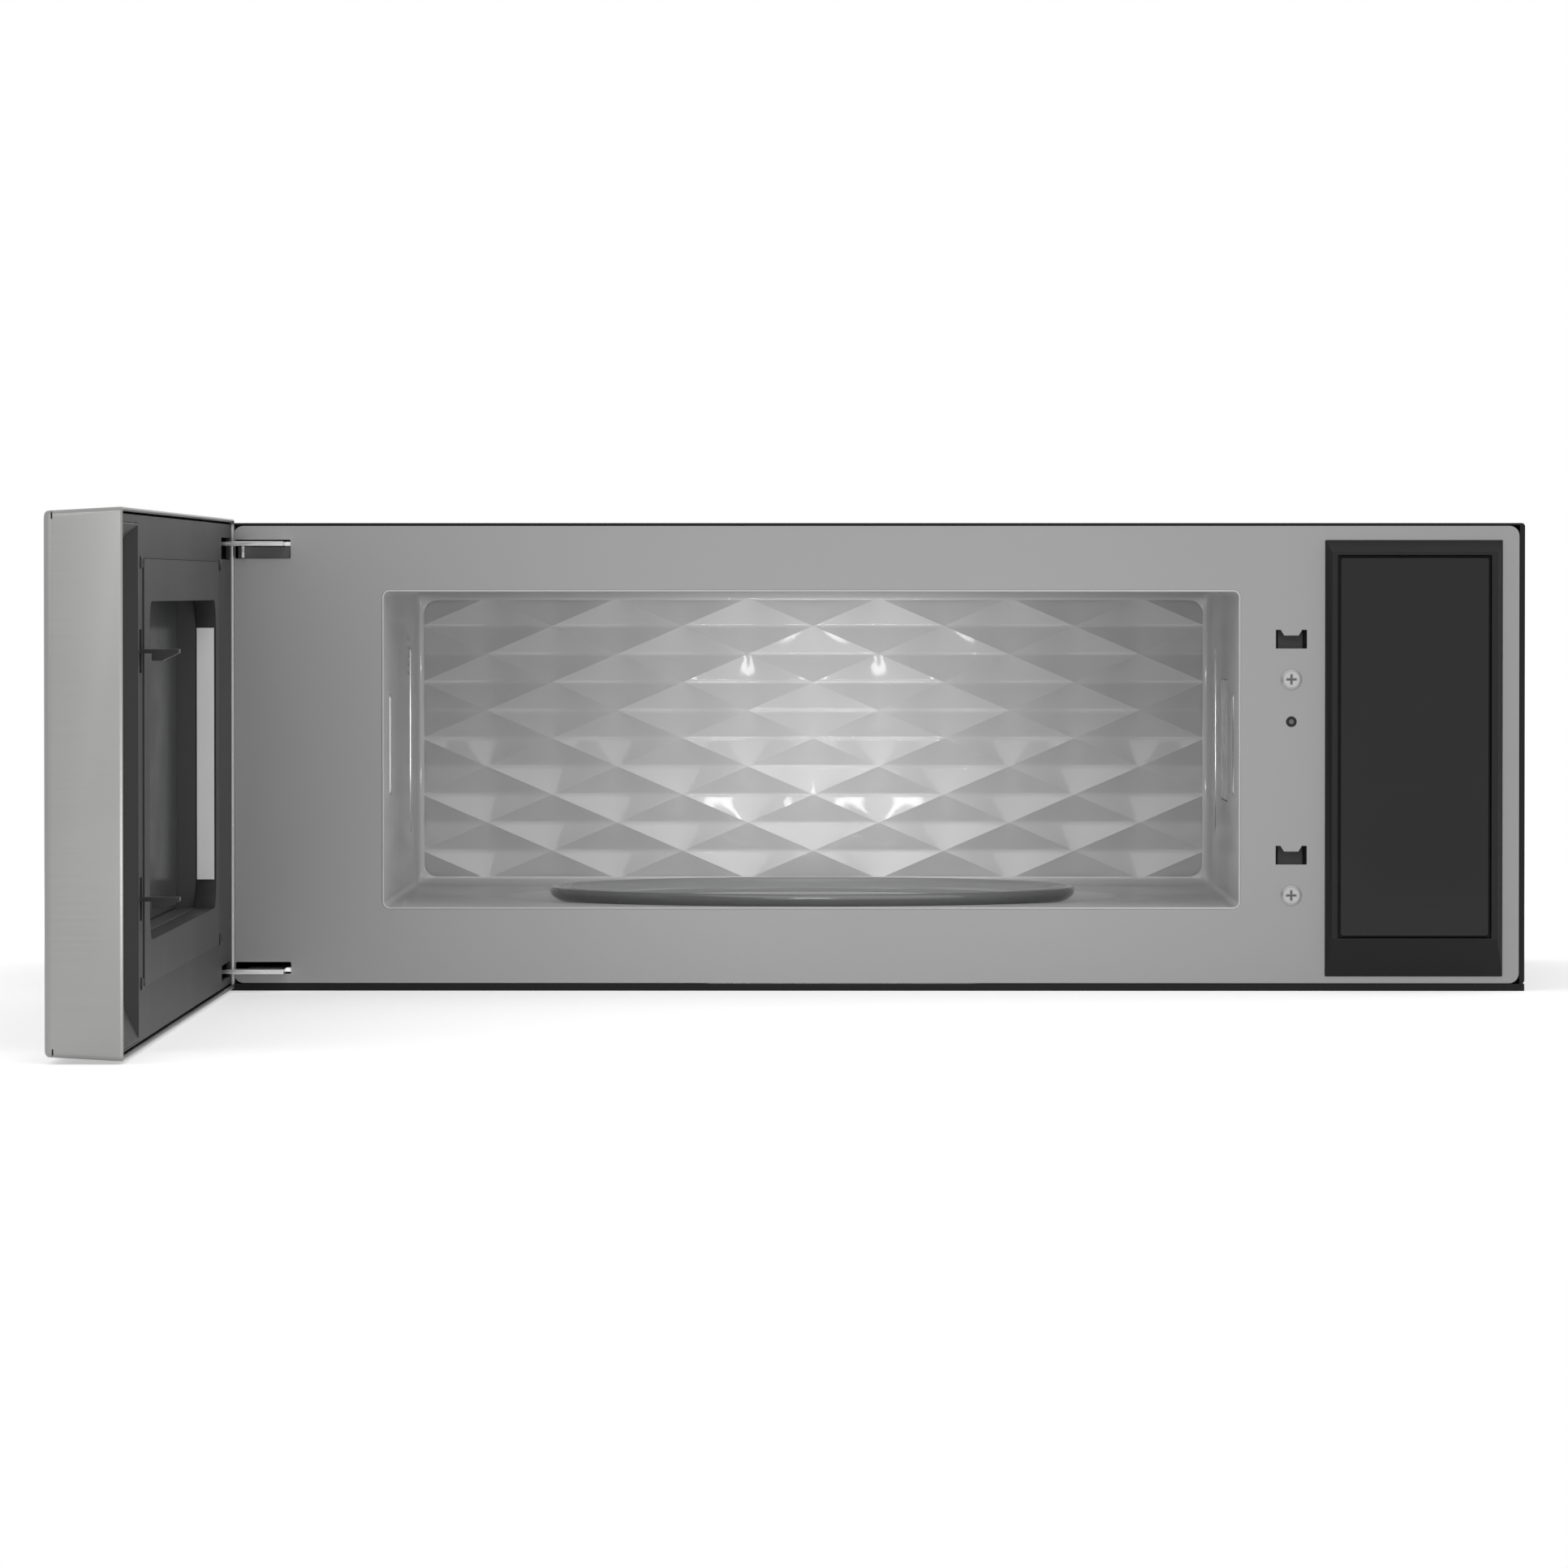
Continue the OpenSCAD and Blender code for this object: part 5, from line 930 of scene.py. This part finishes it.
class MICROWAVE_OT_face_plate(bpy.types.Operator):
    """Presses the grey face plate with its rounded corners, latch slots and hinge slots"""

    bl_idname = "microwave.face_plate"
    bl_label = "Face plate"

    # Radius of the plate's corners, of the opening's, and of the holes for the screws and the bush
    CORNER, OPENING_CORNER, SCREW_HOLE, BUSH_HOLE = 5.5, 4.2, 2.1, 2.95

    def execute(self, context):
        paint = painted_sheet("face_paint", context.scene.microwave_finishes.face, 0.38, metallic=0.75,
                              peel=0.01)
        outline = round_rect(FACE_LEFT, FACE_RIGHT, FACE_LOW, FACE_HIGH, self.CORNER)
        plate = piece("face_plate", *slab(outline, FRONT, FRONT + FACE_T), paint, "cabinet", "face_grey",
                      ["front_frame", "control_plate", "latch_strip", "catch_plates"], smooth=0)
        openings = [inset_rect(CAVITY, -CAV_WALL, self.OPENING_CORNER)]
        openings += [self.slot(z) for z in SLOT_FLOORS]
        openings += [round_rect(*HINGE_SLOT_X, z0, z1, 0.6, 2) for z0, z1 in HINGE_SLOTS]
        openings += [circle(HOOK_X, z, self.SCREW_HOLE, 28) for z in SCREW_HEIGHTS]
        openings.append(circle(HOOK_X, PLUNGER_Z, self.BUSH_HOLE, 28))
        for opening in openings:
            cut(plate, *slab(opening, FRONT - 1, FRONT + FACE_T + 1))
        smooth_over(plate)
        soften(plate, 0.3)
        self.slot_shade()
        self.bush()
        self.sockets()
        return {"FINISHED"}

    def slot(self, z0):
        """A latch slot, with a lip that hangs from its upper edge."""
        half, top = SLOT_W / 2, z0 + SLOT_H
        spots = ((-half, z0), (half, z0), (half, top), (6, top), (4, top - SLOT_LIP), (-4, top - SLOT_LIP),
                 (-6, top), (-half, top))
        return [(HOOK_X + x, z) for x, z in spots]

    def slot_shade(self):
        """A dark plate behind the upper hinge slot, under the arm: painted shade of the slot's inside."""
        outline = round_rect(HINGE_SLOT_X[0] + 1.5, HINGE_SLOT_X[1] + 4, HINGE_SLOTS[1][0] - 1.2, 247.2,
                             0.8, 3)
        # Dark grey sheet where the slot under the arm lies in shade: painted shade
        dark = painted_sheet("guard_paint", (0.12, 0.12, 0.12), 0.5)
        soften(piece("hinge_slot_guard", *slab(outline, FRONT + 1.3, FRONT + 2.1), dark, "cabinet",
                     "face_grey"), 0.2)

    def bush(self):
        """The black bush round the plunger."""
        black = moulded("bush_plastic", (0.006, 0.006, 0.006), 0.5, 900.0, 0.01)
        profile = [(1.5, -0.12), (1.6, -0.24), (2.7, -0.24), (2.85, -0.1), (2.85, 0.1), (1.5, 0.1)]
        loops = [[(HOOK_X + r * math.cos(a), FRONT + y, PLUNGER_Z + r * math.sin(a)) for r, y in profile]
                 for a in (2 * math.pi * k / 48 for k in range(48))]
        piece("plunger_bush", *loop_tube(loops, closed=True), black, "cabinet", "black_plastic")

    def sockets(self):
        """The shaded cross sockets of the two screws."""
        reach, half = 2.6, 0.45
        cross = [(half, half), (half, reach), (-half, reach), (-half, half), (-reach, half),
                 (-reach, -half), (-half, -half), (-half, -reach), (half, -reach), (half, -half),
                 (reach, -half), (reach, half)]
        head = node_span("face_screws", 1)[0]
        shade = moulded("socket_shadow", (0.15, 0.15, 0.15), 0.7, 900.0, 0.01)
        sockets = [slab([(HOOK_X + x, z + up) for x, up in cross], head + 0.25, head + 1.0)
                   for z in SCREW_HEIGHTS]
        piece("screw_sockets", *joined(*sockets), shade, "cabinet", "screw_grey", smooth=0)


# Cabinet


class MICROWAVE_OT_grease_filters(bpy.types.Operator):
    """Frames each grease filter and fills it with layers of expanded aluminium mesh"""

    bl_idname = "microwave.grease_filters"
    bl_label = "Grease filters"

    EDGE = 7.0
    LEVELS = (2.4, 4.3, 6.2)
    # One diamond's size, then half a strand's width, how far it rises and twists, and the sheet
    PITCH_X, PITCH_Y = 7.0, 4.0
    STRAND, RISE, TWIST, SHEET = 0.42, 0.35, 0.25, 0.3

    def execute(self, context):
        rim = brushed_metal("filter_frame_metal", (0.6, 0.61, 0.62), 0.35, (40, 700, 700))
        wire = brushed_metal("filter_mesh_metal", (0.52, 0.53, 0.54), 0.32, (300, 300, 300))
        edge, overlap = self.EDGE, 0.8
        for side in ("left", "right"):
            node, body = "grease_filter_" + side, "filter_" + side
            (x0, x1), (y0, y1), (z0, z1) = (node_span(node, axis) for axis in range(3))
            sections = [(0, z0 + 0.8), (0.3, z0 + 0.2), (1.0, z0), (edge - 0.8, z0), (edge, z0 + 0.6),
                        (edge, z0 + 2), (edge - 0.6, z0 + 2.2), (edge - 0.6, z1 - 2.2), (edge, z1 - 2),
                        (edge, z1 - 0.6), (edge - 0.8, z1), (1.0, z1), (0.3, z1 - 0.2), (0, z1 - 0.8)]
            loops = []
            for inset, z in sections:
                outline = inset_rect((x0, x1, y0, y1), inset, max(3.0 - inset, 0.5), 4)
                loops.append([(x, y, z) for x, y in outline])
            piece("filter_rim_" + side, *loop_tube(loops, closed=True), rim, body, "filter_mesh", [node])
            inside = edge - overlap
            layers = [self.lattice(x0 + inside, x1 - inside, y0 + inside, y1 - inside, z0 + level)
                      for level in self.LEVELS]
            piece("filter_layers_" + side, *joined(*layers), wire, body, "filter_mesh", smooth=0)
        return {"FINISHED"}

    def lattice(self, x0, x1, y0, y1, z):
        """Expanded mesh: crossing strands that rise and fall over each diamond."""
        nx, ny = int((x1 - x0) / self.PITCH_X), int((y1 - y0) / self.PITCH_Y)
        sx, sy = (x1 - x0) / nx, (y1 - y0) / ny
        half, wide = self.STRAND, self.STRAND * 1.6
        points, faces, knots = [], [], {}
        for j in range(2 * ny + 1):
            for i in range(2 * nx + 1):
                if (i + j) % 2 == 0:
                    x, y = x0 + sx * i / 2, y0 + sy * j / 2
                    up = z + (self.RISE if j % 2 else -self.RISE)
                    knots[i, j] = len(points)
                    points += [(x - wide, y, up), (x, y - half, up + self.TWIST), (x + wide, y, up),
                               (x, y + half, up - self.TWIST)]
        for (i, j), a in knots.items():
            for step, (p, q, r, s) in ((1, (2, 1, 0, 3)), (-1, (0, 1, 2, 3))):
                b = knots.get((i + step, j + 1))
                if b is not None:
                    faces.append((a + p, b + q, b + r, a + s))
        return self.thicken(points, faces)

    def thicken(self, points, faces):
        """Gives a lattice of strips a closed underside."""
        count = len(points)
        low = [(x, y, z - self.SHEET) for x, y, z in points]
        solid = faces + [tuple(i + count for i in reversed(face)) for face in faces]
        for face in faces:
            for p, q in zip(face, face[1:] + face[:1]):
                solid.append((q, p, p + count, q + count))
        return points + low, solid


def dress(material, width, *nodes, segments=2):
    """Gives CAD nodes a node material and rounded edges."""
    for node in nodes:
        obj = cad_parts[node]
        obj.data.materials.clear()
        obj.data.materials.append(material)
        weld = obj.modifiers.new("joined_faces", "WELD")
        weld.merge_threshold = MERGE
        soften(obj, width, segments)


class MICROWAVE_OT_case_finish(bpy.types.Operator):
    """Paints and softens the cabinet's sheet metal, its screws and its hinge arms"""

    bl_idname = "microwave.case_finish"
    bl_label = "Case"

    def execute(self, context):
        case = context.scene.microwave_finishes.case
        black = painted_sheet("case_paint", case, 0.45, peel=0.02, specular=0.25)
        dress(black, 0.5, "wrap_cover")
        dress(black, 0.2, "hinge_pocket")
        dress(painted_sheet("base_paint", (0.018, 0.018, 0.018), 0.5, specular=0.15), 0.3, "base_pan")
        dress(galvanised("zinc_sheet", (0.5, 0.51, 0.52)), 0.2, "rear_panel", "waveguide", "magnetron",
              "component_shelf", "blower_housing", "exhaust_adapter", "damper_flap", "turntable_motor",
              "hinge_bracket_upper", "hinge_bracket_lower")
        dress(brushed_metal("plated_steel", (0.72, 0.72, 0.72), 0.2, (60, 900, 900)), 0.25,
              "hinge_arm_upper", "hinge_arm_lower", "hinge_pins", "case_screws")
        dress(moulded("grommet_rubber", (0.02, 0.02, 0.02), 0.7, 300.0, 0.05), 0.3, "cord_grommet")
        return {"FINISHED"}


class MICROWAVE_OT_controls(bpy.types.Operator):
    """Finishes the control pod: fine black plastic round a smoked touch glass"""

    bl_idname = "microwave.controls"
    bl_label = "Control pod"

    def execute(self, context):
        pod = context.scene.microwave_finishes.pod
        dress(moulded("pod_plastic", pod, 0.42, 900.0, 0.008, 0.2), 0.7, "control_bezel", segments=3)
        glass = Finish("control_glass", (0.006, 0.006, 0.006), roughness=0.1, specular=0.4)
        glass.gloss(glass.noise(16.0, 3.0), 0.06, 0.14)
        glass.tone(glass.noise(8.0), 0.95, 1.05)
        dress(glass.material, 0.3, "control_glass", segments=3)
        board = Finish("circuit_board", (0.02, 0.12, 0.05), roughness=0.35, coat=0.3)
        traces = board.cells(400.0, "CHEBYCHEV")
        board.tone(traces, 0.7, 1.5)
        board.relief(traces, 0.03)
        dress(board.material, 0.1, "control_board", "filter_board")
        return {"FINISHED"}


class MICROWAVE_OT_latch_parts(bpy.types.Operator):
    """Finishes the latch board, its levers, switches, plunger and the screws of the face"""

    bl_idname = "microwave.latch_parts"
    bl_label = "Latch parts"

    def execute(self, context):
        dress(moulded("white_plastic", (0.62, 0.62, 0.6), 0.42), 0.25, "turntable_coupler", "roller_ring",
              "roller_1", "roller_2", "roller_3", "cooling_fan_wheel")
        dress(moulded("black_plastic", (0.02, 0.02, 0.02), 0.4), 0.3, "latch_board", "interlock_switches",
              "control_tunnel", "cooling_fan_housing")
        dress(moulded("light_grey_plastic", (0.14, 0.14, 0.14), 0.4), 0.2, "door_sense_plunger",
              "interlock_lever_upper", "interlock_lever_lower")
        dress(painted_sheet("screw_paint", (0.42, 0.42, 0.42), 0.38, 0.6, 0.01), 0.25, "face_screws")
        return {"FINISHED"}


class MICROWAVE_OT_inner_works(bpy.types.Operator):
    """Finishes the transformer, capacitor, motors, lamps, blower wheel and charcoal filter"""

    bl_idname = "microwave.inner_works"
    bl_label = "Inner works"

    def execute(self, context):
        core = Finish("core_laminations", (0.06, 0.06, 0.065), metallic=0.6, roughness=0.5)
        sheets = core.noise(1.0, 2.0, (4, 4, 1500))
        core.relief(sheets, 0.05)
        core.tone(sheets, 0.7, 1.3)
        dress(core.material, 0.3, "hv_transformer", "blower_motor")
        can = brushed_metal("drawn_aluminium", (0.62, 0.63, 0.64), 0.3, (500, 500, 20))
        dress(can, 0.4, "hv_capacitor")
        dress(can, 0.1, "blower_wheel")
        grains = Finish("charcoal_grains", (0.02, 0.02, 0.02), roughness=0.8)
        pellets = grains.cells(380.0)
        grains.relief(pellets, 1.2)
        grains.tone(pellets, 0.4, 1.6)
        dress(grains.material, 0.2, "charcoal_filter")
        dress(glazing("lamp_glass", (0.9, 0.9, 0.86), 0.15, 0.4), 0.3, "cavity_lamp", "cooktop_lamps")
        lens = Finish("frosted_lens", (0.8, 0.8, 0.78), roughness=0.5, transmission=0.6)
        lens.relief(lens.cells(500.0), 0.2)
        lens.tone(lens.noise(20.0), 0.97, 1.03)
        dress(lens.material, 0.4, "cooktop_lens")
        return {"FINISHED"}


# Add-on


STEPS = (
    MICROWAVE_OT_studio, MICROWAVE_OT_case_finish, MICROWAVE_OT_face_plate, MICROWAVE_OT_cavity,
    MICROWAVE_OT_quilted_wall, MICROWAVE_OT_tray, MICROWAVE_OT_controls, MICROWAVE_OT_latch_parts,
    MICROWAVE_OT_door_skin, MICROWAVE_OT_door_inside, MICROWAVE_OT_window, MICROWAVE_OT_latch_spring,
    MICROWAVE_OT_grease_filters, MICROWAVE_OT_inner_works)
SETTINGS = {
    "microwave_finishes": MicrowaveFinishes,
    "microwave_quilt": MicrowaveQuilt,
    "microwave_door": MicrowaveDoor,
    "microwave_studio": MicrowaveStudio,
}


class MICROWAVE_PT_panel(bpy.types.Panel):
    """Lists the settings and the pieces in the 3D view's sidebar."""

    bl_idname = "MICROWAVE_PT_panel"
    bl_label = "Microwave"
    bl_space_type = "VIEW_3D"
    bl_region_type = "UI"
    bl_category = "Microwave"

    def draw(self, context):
        layout = self.layout
        for name, kind in SETTINGS.items():
            box = layout.box()
            for key in kind.__annotations__:
                box.prop(getattr(context.scene, name), key)
        for step in STEPS:
            layout.operator(step.bl_idname)


def register():
    for kind in (*SETTINGS.values(), *STEPS, MICROWAVE_PT_panel):
        bpy.utils.register_class(kind)
    for name, kind in SETTINGS.items():
        setattr(bpy.types.Scene, name, PointerProperty(type=kind))


def unregister():
    for name in SETTINGS:
        delattr(bpy.types.Scene, name)
    for kind in reversed((*SETTINGS.values(), *STEPS, MICROWAVE_PT_panel)):
        bpy.utils.unregister_class(kind)


def main():
    register()
    bpy.context.scene.view_settings.view_transform = "Standard"
    for step in STEPS:
        group, name = step.bl_idname.split(".")
        getattr(getattr(bpy.ops, group), name)()


if __name__ == "__main__":
    main()
